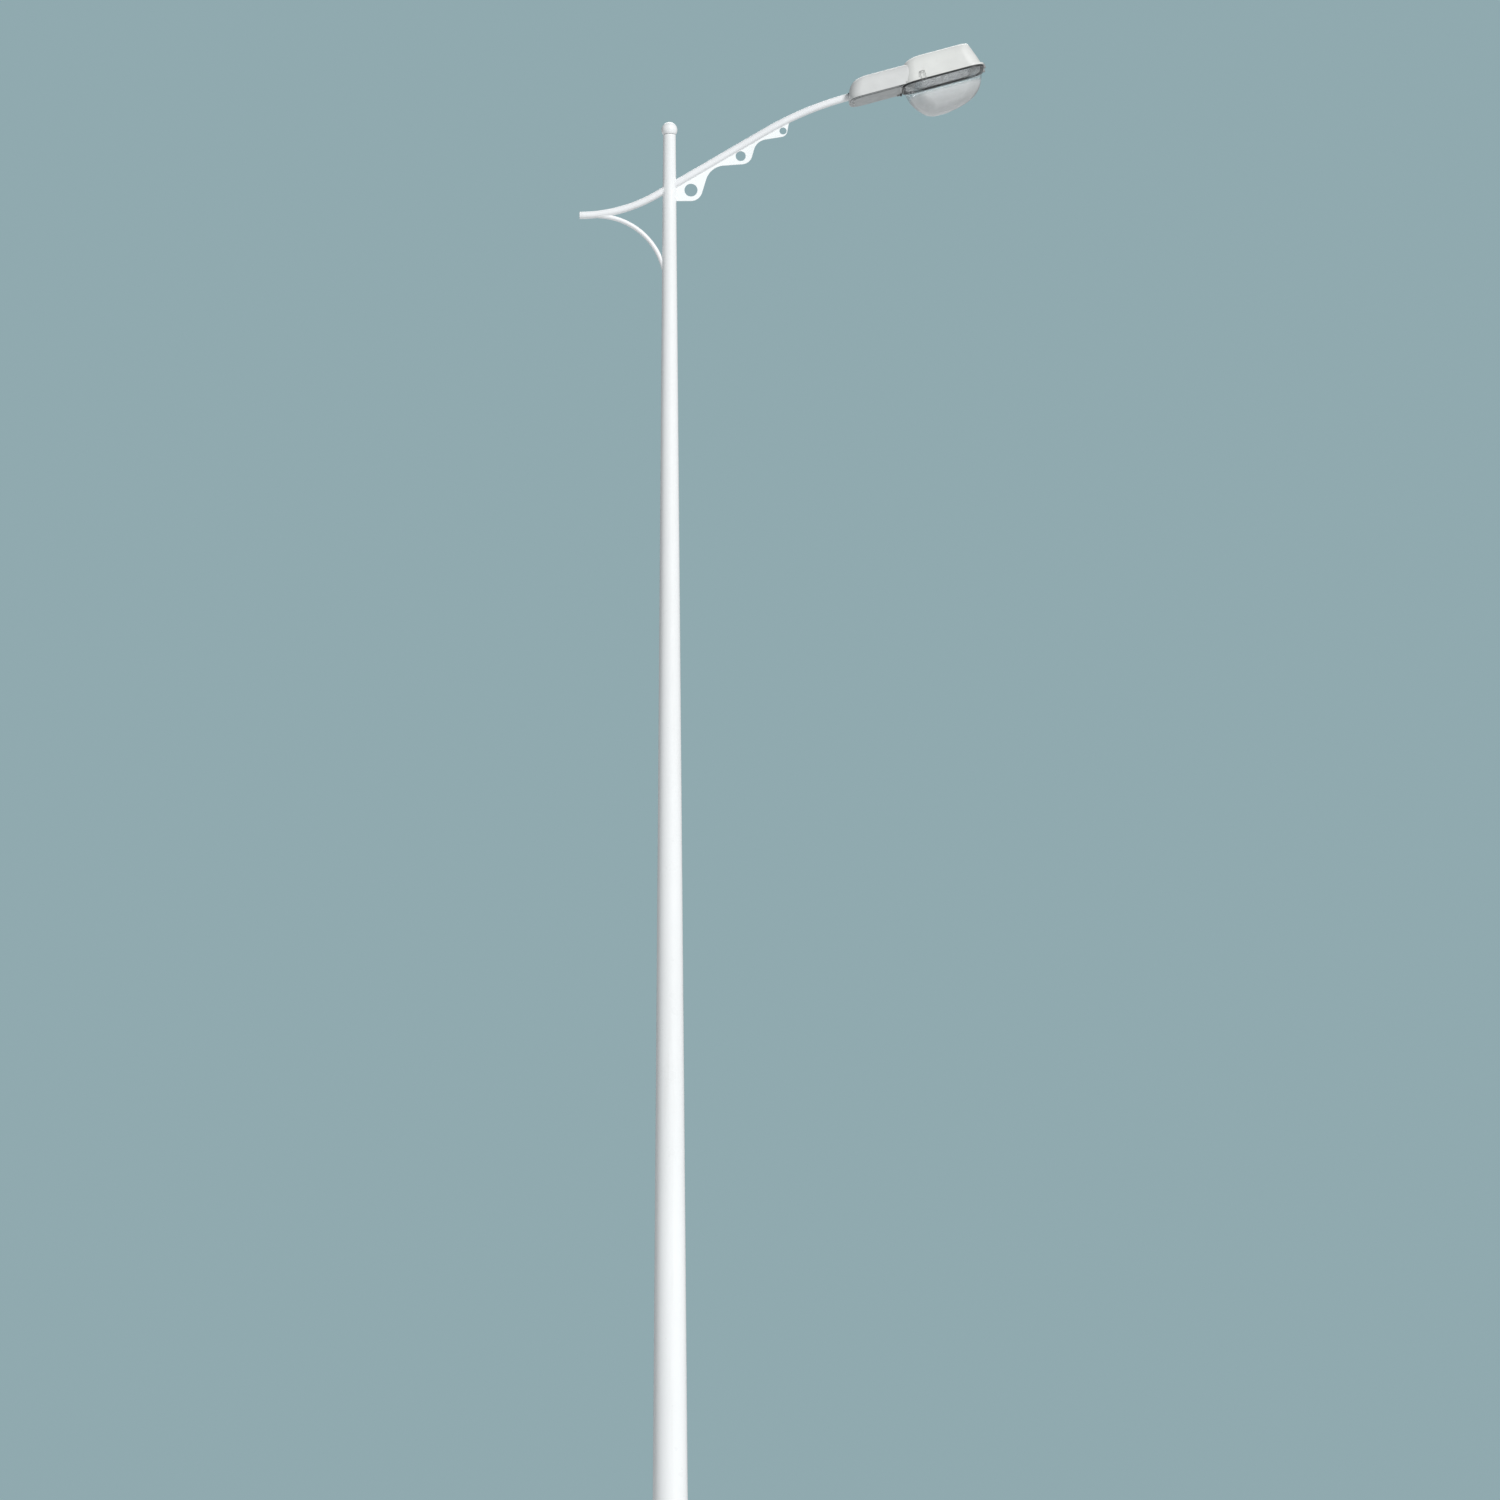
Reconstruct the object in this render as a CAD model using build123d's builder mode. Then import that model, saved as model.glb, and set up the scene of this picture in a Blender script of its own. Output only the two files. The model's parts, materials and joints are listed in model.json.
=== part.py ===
from build123d import *
import os
from math import cos, radians, sin, sqrt, tan

# Street lamp post: a conical steel column, a curved outreach arm with a lobed gusset and a
# brace, and one side-entry luminaire with a deep clear bowl. Millimetres.
# Origin: on the column's axis at the underside of the base plate. +Z up, +X to the luminaire.

# ---------------------------------------------------------------- driving dimensions
# column
COLUMN_HEIGHT = 9000  # ground to the top of the ball
GROUND_RADIUS = 108.6
TAPER = 0.00798  # radius lost per mm of height
SHAFT_WALL = 4
BASE_WALL = 5
SPLICE_HEIGHT = 940  # thick base section below, long shaft above
CAP_TOP = 8927
CAP_THICK = 15
CAP_SHOULDER = 8

# foot
PLATE_SIZE = 400
PLATE_THICK = 20
PLATE_CORNER = 20
BOLT_SPACING = 300
BOLT_HOLE_R = 14
CABLE_HOLE_R = 60
RIB_HEIGHT = 110
RIB_REACH = 62
RIB_THICK = 10

# door in the base section, facing -Y
DOOR_MID = 680
DOOR_W = 100
DOOR_H = 400
DOOR_CORNER = 20
DOOR_GAP = 1.5
DOOR_THICK = 4
FRAME_W = 120
FRAME_H = 420
FRAME_LIP = 4
HINGE_X = -59.7
HINGE_Y = -92.4
HINGE_PIN_R = 2.5
HINGE_KNUCKLE_R = 5
HINGE_SPREAD = 120
LOCK_X = 30
LOCK_R = 10

# equipment board inside the base section
BOARD_Y = 25
BOARD_THICK = 3
RAIL_DEPTH = 7.5
RAIL_Z = 700
SUPPLY_X = -22
CABLE_R = 4.5

# arm and brace
ARM_R = 21.2
ARM_WALL = 3.2
TAIL_X = -524
TAIL_Z = 8446.6
TAIL_BEND_R = 894
ARM_RISE = 30.4  # degrees, slope of the straight middle run
ARM_STRAIGHT = 743.5
HEAD_BEND_R = 1943
HEAD_TILT = 15  # degrees, slope of the spigot and the luminaire
SPIGOT_LENGTH = 110
BRACE_R = 13.45
BRACE_WALL = 2.6
BRACE_BEND_R = 406
BRACE_CENTRE = (-430, 8037)

# gusset
GUSSET_THICK = 8
GUSSET_HOLES = ((126.4, 8595.2, 38.3), (418.3, 8797, 29.5), (666.9, 8946.2, 21))

# luminaire, in its own frame: u along the spigot's axis, v up, from the housing's rear face
RIM_V = -38  # lower edge of the canopy
CANOPY_U0 = 325
CANOPY_U1 = 803
CANOPY_W = 340
CANOPY_CORNER = 80
CANOPY_WALL = 2.8
FLANGE_OUT = 9
FLANGE_H = 12
HOUSING_LENGTH = 440
HOUSING_W = 300
HOUSING_CORNER = 75
HOUSING_WALL = 3.2
HOUSING_V = -37
# levels of each shell: v, rear u, front u, width, corner radius
CANOPY_LEVELS = (
    (RIM_V, CANOPY_U0, CANOPY_U1, CANOPY_W, CANOPY_CORNER),
    (10, 330, 790, 314, 79),
    (60, 343, 774, 286, 76),
    (93, 366, 763, 256, 68),
    (111, 400, 756, 218, 56),
    (117, 436, 746, 172, 40),
)
HOUSING_LEVELS = (
    (HOUSING_V, 0, HOUSING_LENGTH, HOUSING_W, HOUSING_CORNER),
    (10, 7, HOUSING_LENGTH, 290, 75),
    (46, 26, HOUSING_LENGTH, 274, 74),
    (68, 50, HOUSING_LENGTH, 248, 66),
    (79, 78, HOUSING_LENGTH, 214, 54),
    (83, 108, HOUSING_LENGTH, 172, 40),
)
BOWL_LEVELS = (
    (-42, 331, 797, 328, 74),
    (-90, 337, 787, 316, 84),
    (-145, 356, 757, 284, 100),
    (-190, 384, 706, 226, 98),
    (-222, 415, 622, 150, 70),
    (-236, 446, 556, 76, 36),
)
GASKET_H = 3.7
BOWL_FLANGE = 6
BOWL_WALL = 3
FRAME_OUT = 6
BOWL_HINGE_U = 816
BOWL_HINGE_V = -46
BOWL_HINGE_Y = 60
CLIP_U = 447
CLIP_WIRE_R = 1.6
CLIP_W = 28
COVER_U1 = 306
COVER_HINGE_U = 312
COVER_HINGE_V = -46
COVER_HINGE_Y = 130
LAMP_V = 20
TRAY_V = 60

FIT = 0.3  # clearance between pieces that move past each other
PIN_FIT = 0.05  # radial running clearance on a hinge pin

os.makedirs("parts", exist_ok=True)


# ---------------------------------------------------------------- helpers
def save(builder, label):
    """Name a finished piece and write it to its own file."""
    builder.part.label = label
    export_step(builder.part, f"parts/{label}.step")


def column_radius(z):
    return GROUND_RADIUS - TAPER * z


def cone_shell(z0, z1, outer, inner):
    """A length of the column's cone, its faces offset from the column's outer surface."""
    with BuildPart() as shell:
        with BuildSketch(Plane.YZ):
            with BuildLine():
                Polyline(
                    (column_radius(z0) + inner, z0),
                    (column_radius(z0) + outer, z0),
                    (column_radius(z1) + outer, z1),
                    (column_radius(z1) + inner, z1),
                    close=True,
                )
            make_face()
        revolve(axis=Axis.Z)
    return shell.part


def door_prism(width, height, corner):
    """A rounded block that reaches from the column's axis out through the door side."""
    with BuildPart() as prism:
        with BuildSketch(Plane.XZ):
            with Locations((0, DOOR_MID)):
                RectangleRounded(width, height, corner)
        extrude(amount=2 * GROUND_RADIUS)
    return prism.part


def door_patch(outer, inner, width, height, corner):
    """A curved, rounded patch of the column's cone on the door side."""
    shell = cone_shell(PLATE_THICK, SPLICE_HEIGHT, outer, inner)
    prism = door_prism(width, height, corner)
    with BuildPart() as patch:
        add(shell)
        add(prism, mode=Mode.INTERSECT)
    return patch.part


# ---------------------------------------------------------------- foot
with BuildPart() as base_plate:
    with BuildSketch():
        RectangleRounded(PLATE_SIZE, PLATE_SIZE, PLATE_CORNER)
    extrude(amount=PLATE_THICK)
    with GridLocations(BOLT_SPACING, BOLT_SPACING, 2, 2):
        Hole(BOLT_HOLE_R)
    Hole(CABLE_HOLE_R)
    chamfer(base_plate.faces().sort_by(Axis.Z)[-1].outer_wire().edges(), 2)
save(base_plate, "base_plate")

foot_radius = column_radius(PLATE_THICK)
column_core = cone_shell(PLATE_THICK, CAP_TOP, 0, -column_radius(0) / 4)
with BuildPart() as base_ribs:
    for turn in range(4):
        with BuildSketch(Plane.XZ.rotated((0, 0, 90 * turn))):
            with BuildLine():
                Polyline(
                    (foot_radius - 6, PLATE_THICK),
                    (foot_radius + RIB_REACH, PLATE_THICK),
                    (foot_radius + RIB_REACH, PLATE_THICK + 18),
                    (foot_radius + 8, PLATE_THICK + RIB_HEIGHT),
                    (foot_radius - 6, PLATE_THICK + RIB_HEIGHT),
                    close=True,
                )
            make_face()
        extrude(amount=RIB_THICK / 2, both=True)
    add(column_core, mode=Mode.SUBTRACT)
save(base_ribs, "base_ribs")

# ---------------------------------------------------------------- column
base_wall = cone_shell(PLATE_THICK, SPLICE_HEIGHT, 0, -BASE_WALL)
door_opening = door_prism(DOOR_W, DOOR_H, DOOR_CORNER)
with BuildPart() as pole_base_section:
    add(base_wall)
    add(door_opening, mode=Mode.SUBTRACT)
save(pole_base_section, "pole_base_section")

with BuildLine(Plane.XZ) as arm_line:
    tail_bend = JernArc((TAIL_X, TAIL_Z), (1, 0), TAIL_BEND_R, ARM_RISE)
    middle_run = PolarLine(tail_bend @ 1, ARM_STRAIGHT, direction=tail_bend % 1)
    head_bend = JernArc(middle_run @ 1, middle_run % 1, HEAD_BEND_R, HEAD_TILT - ARM_RISE)
    spigot_run = PolarLine(head_bend @ 1, SPIGOT_LENGTH, direction=head_bend % 1)
tail_plane = Plane(origin=(TAIL_X, 0, TAIL_Z), x_dir=(0, 1, 0), z_dir=(1, 0, 0))


def arm_rod(radius):
    """A solid rod along the whole arm."""
    with BuildPart() as rod:
        with BuildSketch(tail_plane):
            Circle(radius)
        sweep(path=arm_line.wire())
    return rod.part


arm_solid = arm_rod(ARM_R)
arm_bore = arm_rod(ARM_R - ARM_WALL)

with BuildPart() as pole_shaft:
    add(cone_shell(SPLICE_HEIGHT, CAP_TOP - CAP_THICK, 0, -SHAFT_WALL))
    add(arm_solid, mode=Mode.SUBTRACT)
save(pole_shaft, "pole_shaft")

cap_radius = column_radius(CAP_TOP)
STUD_R = 6
with BuildPart() as pole_cap:
    with BuildSketch(Plane.XY.offset(CAP_TOP - CAP_THICK)):
        Circle(cap_radius)
    extrude(amount=CAP_THICK)
    fillet(pole_cap.edges().sort_by(Axis.Z)[-1], CAP_SHOULDER)
    with BuildSketch(Plane.XY.offset(CAP_TOP - CAP_THICK)):
        Circle(STUD_R + PIN_FIT)
    extrude(amount=CAP_THICK, mode=Mode.SUBTRACT)
save(pole_cap, "pole_cap")

BALL_R = 47
BALL_WALL = 5
STUD_LENGTH = 30
ball_z = COLUMN_HEIGHT - BALL_R
seat_radius = sqrt(BALL_R**2 - (ball_z - CAP_TOP) ** 2)
floor_z = CAP_TOP + BALL_WALL
floor_radius = sqrt((BALL_R - BALL_WALL) ** 2 - (ball_z - floor_z) ** 2)
with BuildPart() as ball_finial:
    with BuildSketch(Plane.XZ):
        with BuildLine():
            Line((0, CAP_TOP - STUD_LENGTH), (STUD_R, CAP_TOP - STUD_LENGTH))
            Polyline((STUD_R, CAP_TOP - STUD_LENGTH), (STUD_R, CAP_TOP), (seat_radius, CAP_TOP))
            ThreePointArc((seat_radius, CAP_TOP), (BALL_R, ball_z), (0, COLUMN_HEIGHT))
            Line((0, COLUMN_HEIGHT), (0, COLUMN_HEIGHT - BALL_WALL))
            ThreePointArc(
                (0, COLUMN_HEIGHT - BALL_WALL), (BALL_R - BALL_WALL, ball_z), (floor_radius, floor_z)
            )
            Polyline((floor_radius, floor_z), (0, floor_z), (0, CAP_TOP - STUD_LENGTH))
        make_face()
    revolve(axis=Axis.Z)
save(ball_finial, "ball_finial")

# ---------------------------------------------------------------- arm, gusset, brace
SLOT_LENGTH = 30
SLOT_WIDTH = 14
with BuildPart() as arm_tube:
    add(arm_solid)
    add(arm_bore, mode=Mode.SUBTRACT)
    # slot in the underside, inside the column, where the supply cable enters
    with BuildSketch(Plane.XY.offset(middle_run.start_point().Z - ARM_R)):
        with Locations((SUPPLY_X + 2, 0)):
            SlotOverall(SLOT_LENGTH, SLOT_WIDTH)
    extrude(amount=2 * ARM_R, mode=Mode.SUBTRACT)
save(arm_tube, "arm_tube")

PLUG_DEPTH = 12
with BuildPart() as arm_end_plug:
    with BuildSketch(tail_plane.offset(-3)):
        Circle(ARM_R)
    extrude(amount=3)
    with BuildSketch(tail_plane):
        Circle(ARM_R - ARM_WALL - 0.1)
    extrude(amount=PLUG_DEPTH)
    fillet(arm_end_plug.edges().sort_by(Axis.X)[0], 2)
save(arm_end_plug, "arm_end_plug")

with BuildPart() as arm_gusset:
    with BuildSketch(Plane.XZ):
        with BuildLine():
            foot_edge = Line((30, 8531), (126, 8531))
            lobe_1 = JernArc(foot_edge @ 1, foot_edge % 1, 68, 73)
            rise_1 = PolarLine(lobe_1 @ 1, 84, direction=lobe_1 % 1)
            neck_1 = JernArc(rise_1 @ 1, rise_1 % 1, 116, -69)
            run_2 = PolarLine(neck_1 @ 1, 110, direction=neck_1 % 1)
            lobe_2 = JernArc(run_2 @ 1, run_2 % 1, 64, 71)
            rise_2 = PolarLine(lobe_2 @ 1, 40, direction=lobe_2 % 1)
            neck_2 = JernArc(rise_2 @ 1, rise_2 % 1, 84, -66)
            run_3 = PolarLine(neck_2 @ 1, 98, direction=neck_2 % 1)
            lobe_3 = JernArc(run_3 @ 1, run_3 % 1, 37, 70)
            tip = PolarLine(lobe_3 @ 1, 62, direction=lobe_3 % 1)
            upper = middle_run @ 0.85
            lower = middle_run @ 0.15
            Polyline(tip @ 1, (upper.X, upper.Z), (lower.X, lower.Z), foot_edge @ 0)
        make_face()
        for hole_x, hole_z, hole_r in GUSSET_HOLES:
            with Locations((hole_x, hole_z)):
                Circle(hole_r, mode=Mode.SUBTRACT)
    extrude(amount=GUSSET_THICK / 2, both=True)
    add(arm_solid, mode=Mode.SUBTRACT)
    add(column_core, mode=Mode.SUBTRACT)
save(arm_gusset, "arm_gusset")

with BuildLine(Plane.XZ) as brace_line:
    CenterArc(BRACE_CENTRE, BRACE_BEND_R, 88, -75)
brace_plane = Plane(origin=brace_line.wire() @ 0, z_dir=brace_line.wire() % 0)
with BuildPart() as arm_brace:
    with BuildSketch(brace_plane):
        Circle(BRACE_R)
        Circle(BRACE_R - BRACE_WALL, mode=Mode.SUBTRACT)
    sweep(path=brace_line.wire())
    add(arm_solid, mode=Mode.SUBTRACT)
    add(column_core, mode=Mode.SUBTRACT)
save(arm_brace, "arm_brace")

# ---------------------------------------------------------------- door and its frame
FRAME_FRONT = -7  # depths below the column's skin
FRAME_BACK = -12
SEAL_BACK = -6.8
door_w = DOOR_W - 2 * DOOR_GAP
door_h = DOOR_H - 2 * DOOR_GAP
window_w = DOOR_W - 2 * FRAME_LIP
window_h = DOOR_H - 2 * FRAME_LIP
frame_blank = door_patch(-BASE_WALL, FRAME_BACK, FRAME_W, FRAME_H, DOOR_CORNER + FRAME_LIP)
door_seat = door_patch(-BASE_WALL, FRAME_FRONT, DOOR_W, DOOR_H, DOOR_CORNER)
frame_window = door_prism(window_w, window_h, DOOR_CORNER - FRAME_LIP)
with BuildPart() as door_frame:
    add(frame_blank)
    add(door_seat, mode=Mode.SUBTRACT)
    add(frame_window, mode=Mode.SUBTRACT)
save(door_frame, "door_frame")

lock_plane = Plane(origin=(LOCK_X, 0, DOOR_MID), x_dir=(1, 0, 0), z_dir=(0, -1, 0))
LOCK_FACE = 101.5  # distances of the lock's shoulders in front of the column's axis
LOCK_SHOULDER = 88
CAM_FRONT = 66
CAM_BACK = 62.5
CAM_LENGTH = 32
CAM_W = 12
SHANK_R = 4.5
door_blank = door_patch(0, -DOOR_THICK, door_w, door_h, DOOR_CORNER - DOOR_GAP)
with BuildPart() as access_door:
    add(door_blank)
    with BuildSketch(lock_plane):
        Circle(LOCK_R + FIT)
    extrude(amount=2 * GROUND_RADIUS, mode=Mode.SUBTRACT)
save(access_door, "access_door")

SEAL_W = 6
seal_blank = door_patch(-DOOR_THICK, SEAL_BACK, door_w, door_h, DOOR_CORNER - DOOR_GAP)
seal_window = door_prism(door_w - 2 * SEAL_W, door_h - 2 * SEAL_W, DOOR_CORNER - SEAL_W)
with BuildPart() as door_seal:
    add(seal_blank)
    add(seal_window, mode=Mode.SUBTRACT)
save(door_seal, "door_seal")

with BuildPart() as lock_barrel:
    with BuildSketch(lock_plane.offset(LOCK_SHOULDER)):
        Circle(LOCK_R)
    extrude(amount=LOCK_FACE - LOCK_SHOULDER)
    with BuildSketch(lock_plane.offset(CAM_FRONT)):
        Circle(SHANK_R)
    extrude(amount=LOCK_SHOULDER - CAM_FRONT)
    # three-sided drive for the service key
    with BuildSketch(lock_plane.offset(LOCK_FACE)):
        Circle(6)
        RegularPolygon(4, 3, mode=Mode.SUBTRACT)
    extrude(amount=-7, mode=Mode.SUBTRACT)
save(lock_barrel, "lock_barrel")

with BuildPart() as lock_cam:
    with BuildSketch(lock_plane.offset(CAM_BACK)):
        with Locations((0, CAM_LENGTH / 2 - CAM_W / 4)):
            SlotOverall(CAM_LENGTH + CAM_W / 2, CAM_W, rotation=90)
    extrude(amount=CAM_FRONT - CAM_BACK)
save(lock_cam, "lock_cam")

LEAF_THICK = 5
KNUCKLE_H = 24
OUTER_KNUCKLE_H = 12
DOOR_LEAF_X = (HINGE_X + 3, -24)
PLATE_LEAF_X = (-86, -68)
hinge_heights = (DOOR_MID - HINGE_SPREAD, DOOR_MID + HINGE_SPREAD)
leaf_shell = cone_shell(PLATE_THICK, SPLICE_HEIGHT, LEAF_THICK, 0)
standoff_shell = cone_shell(PLATE_THICK, SPLICE_HEIGHT, 2 * FIT, -BASE_WALL)


def hinge_block(x0, x1, z0, z1):
    """A block in front of the column that limits a hinge leaf."""
    with BuildPart() as block:
        with Locations(((x0 + x1) / 2, -GROUND_RADIUS / 2 - 30, (z0 + z1) / 2)):
            Box(x1 - x0, GROUND_RADIUS, z1 - z0)
    return block.part


def leaf_patch(x0, x1, z0, z1):
    block = hinge_block(x0, x1, z0, z1)
    with BuildPart() as leaf:
        add(leaf_shell)
        add(block, mode=Mode.INTERSECT)
    return leaf.part


def hinge_rod(radius, z0, z1):
    """A round length of the door hinge's axis."""
    with BuildPart() as rod:
        with BuildSketch(Plane.XY.offset(z0)):
            with Locations((HINGE_X, HINGE_Y)):
                Circle(radius)
        extrude(amount=z1 - z0)
    return rod.part


door_leaves = []
fixed_leaves = []
for z in hinge_heights:
    half = KNUCKLE_H / 2
    door_leaves.append(leaf_patch(*DOOR_LEAF_X, z - half, z + half))
    door_leaves.append(hinge_rod(HINGE_KNUCKLE_R, z - half, z + half))
    top = half + FIT + OUTER_KNUCKLE_H
    fixed_leaves.append(leaf_patch(*PLATE_LEAF_X, z - top, z + top))
    for z0, z1 in ((z - top, z - half - FIT), (z + half + FIT, z + top)):
        fixed_leaves.append(leaf_patch(PLATE_LEAF_X[1], HINGE_X, z0, z1))
        fixed_leaves.append(hinge_rod(HINGE_KNUCKLE_R, z0, z1))
hinge_bore = hinge_rod(HINGE_PIN_R + PIN_FIT, hinge_heights[0] - 60, hinge_heights[1] + 60)
jamb_relief = hinge_block(HINGE_X - 10, -DOOR_W / 2 + 1, DOOR_MID - DOOR_H, DOOR_MID + DOOR_H)
with BuildPart() as jamb_gap:
    add(standoff_shell)
    add(jamb_relief, mode=Mode.INTERSECT)

with BuildPart() as door_hinge_leaves:
    for piece in door_leaves:
        add(piece)
    add(hinge_bore, mode=Mode.SUBTRACT)
    add(jamb_gap.part, mode=Mode.SUBTRACT)
save(door_hinge_leaves, "door_hinge_leaves")

with BuildPart() as frame_hinge_leaves:
    for piece in fixed_leaves:
        add(piece)
    add(hinge_bore, mode=Mode.SUBTRACT)
save(frame_hinge_leaves, "frame_hinge_leaves")

with BuildPart() as door_hinge_pins:
    for z in hinge_heights:
        add(hinge_rod(HINGE_PIN_R, z - KNUCKLE_H, z + KNUCKLE_H + 2))
        add(hinge_rod(HINGE_KNUCKLE_R - 1, z + KNUCKLE_H + 1, z + KNUCKLE_H + 4))
save(door_hinge_pins, "door_hinge_pins")

# ---------------------------------------------------------------- equipment board
BOARD_W = 100
BOARD_H = 350
with BuildPart() as equipment_board:
    with BuildSketch(Plane.XZ.offset(-BOARD_Y - BOARD_THICK)):
        with Locations((0, DOOR_MID)):
            RectangleRounded(BOARD_W, BOARD_H, 6)
    extrude(amount=BOARD_THICK)
save(equipment_board, "equipment_board")

wall_block = cone_shell(PLATE_THICK, SPLICE_HEIGHT, BASE_WALL, -BASE_WALL)
BRACKET_W = 40
BRACKET_THICK = 4
bracket_reach = column_radius(DOOR_MID) - BOARD_Y - BOARD_THICK
with BuildPart() as board_brackets:
    for z in (DOOR_MID - 130, DOOR_MID + 130):
        with Locations((0, BOARD_Y + BOARD_THICK + bracket_reach / 2, z)):
            Box(BRACKET_W, bracket_reach, BRACKET_THICK)
        with Locations((0, BOARD_Y + BOARD_THICK + BRACKET_THICK / 2, z)):
            Box(BRACKET_W, BRACKET_THICK, 24)
    add(wall_block, mode=Mode.SUBTRACT)
save(board_brackets, "board_brackets")

RAIL_LENGTH = 96
rail_face = BOARD_Y - RAIL_DEPTH
with BuildPart() as mounting_rail:
    with BuildSketch(Plane.YZ.offset(-RAIL_LENGTH / 2)):
        with BuildLine():
            Polyline((rail_face, RAIL_Z - 17.5), (rail_face, RAIL_Z - 12), (BOARD_Y - 1, RAIL_Z - 12))
            Polyline((BOARD_Y - 1, RAIL_Z - 12), (BOARD_Y - 1, RAIL_Z + 12), (rail_face, RAIL_Z + 12))
            Polyline((rail_face, RAIL_Z + 12), (rail_face, RAIL_Z + 17.5), (rail_face + 1, RAIL_Z + 17.5))
            Polyline((rail_face + 1, RAIL_Z + 17.5), (rail_face + 1, RAIL_Z + 13), (BOARD_Y, RAIL_Z + 13))
            Polyline((BOARD_Y, RAIL_Z + 13), (BOARD_Y, RAIL_Z - 13), (rail_face + 1, RAIL_Z - 13))
            Polyline((rail_face + 1, RAIL_Z - 13), (rail_face + 1, RAIL_Z - 17.5), (rail_face, RAIL_Z - 17.5))
        make_face()
    extrude(amount=RAIL_LENGTH)
save(mounting_rail, "mounting_rail")

BREAKER_W = 36
BREAKER_H = 90
SHOULDER_Y = -25
NOSE_Y = -42
NOSE_H = 44
LEVER_Y = -34
LEVER_R = 7
LEVER_W = 10
LEVER_REACH = 15
LEVER_THICK = 6
LEVER_SLOPE = 30
lever_out = -LEVER_REACH * cos(radians(LEVER_SLOPE))
lever_up = LEVER_REACH * sin(radians(LEVER_SLOPE))
with BuildPart() as breaker_body:
    with BuildSketch(Plane.YZ.offset(SUPPLY_X - BREAKER_W / 2)):
        with BuildLine():
            Polyline(
                (rail_face, RAIL_Z - BREAKER_H / 2),
                (rail_face, RAIL_Z + BREAKER_H / 2),
                (SHOULDER_Y, RAIL_Z + BREAKER_H / 2),
                (SHOULDER_Y, RAIL_Z + NOSE_H / 2),
                (NOSE_Y, RAIL_Z + NOSE_H / 2),
                (NOSE_Y, RAIL_Z - NOSE_H / 2),
                (SHOULDER_Y, RAIL_Z - NOSE_H / 2),
                (SHOULDER_Y, RAIL_Z - BREAKER_H / 2),
                close=True,
            )
        make_face()
    extrude(amount=BREAKER_W)
    fillet(breaker_body.edges().filter_by(Axis.X).sort_by(Axis.Y)[:4], 1.5)
    with BuildSketch(Plane.XZ.offset(-NOSE_Y)):
        with Locations((SUPPLY_X, RAIL_Z)):
            Rectangle(LEVER_W + 2, 22)
    extrude(amount=-18, mode=Mode.SUBTRACT)
save(breaker_body, "breaker_body")

with BuildPart() as breaker_lever:
    with BuildSketch(Plane.YZ.offset(SUPPLY_X - LEVER_W / 2)):
        with Locations((LEVER_Y, RAIL_Z)):
            Circle(LEVER_R)
            SlotCenterPoint((lever_out / 2, lever_up / 2), (lever_out, lever_up), LEVER_THICK)
    extrude(amount=LEVER_W)
save(breaker_lever, "breaker_lever")

TERMINAL_X = 25
with BuildPart() as column_terminals:
    with Locations((TERMINAL_X, (rail_face - 12) / 2, RAIL_Z)):
        Box(40, rail_face + 12, 48)
    with BuildSketch(Plane.XZ.offset(12)):
        with Locations((TERMINAL_X, RAIL_Z)):
            with GridLocations(12, 30, 3, 2):
                Circle(3.2)
    extrude(amount=-8, mode=Mode.SUBTRACT)
save(column_terminals, "column_terminals")

EARTH_X = 30
EARTH_Z = 560
with BuildPart() as earth_stud:
    with BuildSketch(Plane.XZ.offset(-BOARD_Y)):
        with Locations((EARTH_X, EARTH_Z)):
            Circle(4)
    extrude(amount=26)
    with BuildSketch(Plane.XZ.offset(-BOARD_Y)):
        with Locations((EARTH_X, EARTH_Z)):
            RegularPolygon(7.5, 6)
    extrude(amount=7)
save(earth_stud, "earth_stud")

# ---------------------------------------------------------------- supply cable
CABLE_BEND_R = 60
TERMINAL_U = 140
straight_start = tail_bend @ 1
slope = radians(ARM_RISE)
entry_x = SUPPLY_X + CABLE_BEND_R * (1 - sin(slope))
entry_z = straight_start.Z + (entry_x - straight_start.X) * tan(slope)
riser_top = entry_z - CABLE_BEND_R * cos(slope)
in_arm = ARM_STRAIGHT - (entry_x - straight_start.X) / cos(slope)
riser_foot = RAIL_Z + BREAKER_H / 2
with BuildLine(Plane.XZ) as cable_line:
    riser = Line((SUPPLY_X, riser_foot), (SUPPLY_X, riser_top))
    turn_in = JernArc(riser @ 1, (0, 1), CABLE_BEND_R, ARM_RISE - 90)
    run_up = PolarLine(turn_in @ 1, in_arm, direction=turn_in % 1)
    run_over = JernArc(run_up @ 1, run_up % 1, HEAD_BEND_R, HEAD_TILT - ARM_RISE)
    PolarLine(run_over @ 1, TERMINAL_U, direction=run_over % 1)
with BuildPart() as supply_cable:
    with BuildSketch(Plane.XY.offset(riser_foot)):
        with Locations((SUPPLY_X, 0)):
            Circle(CABLE_R)
    sweep(path=cable_line.wire())
save(supply_cable, "supply_cable")
print("supply cable", round(cable_line.wire().length), "mm")

# ---------------------------------------------------------------- luminaire frame
head_origin = head_bend @ 1
tilt = radians(HEAD_TILT)
u_dir = (cos(tilt), 0, sin(tilt))
v_dir = (-sin(tilt), 0, cos(tilt))
head = Plane(origin=head_origin, x_dir=u_dir, z_dir=v_dir)  # local x is u, y is y, z is v
head_side = Plane(origin=head_origin, x_dir=u_dir, z_dir=(0, -1, 0))  # local x is u, y is v
head_cross = Plane(origin=head_origin, x_dir=(0, 1, 0), z_dir=u_dir)  # local x is y, y is v
V_AXIS = Axis(head_origin, v_dir)
CANOPY_U = (CANOPY_U0 + CANOPY_U1) / 2
CANOPY_L = CANOPY_U1 - CANOPY_U0
SIDES = (-1, 1)


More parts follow.
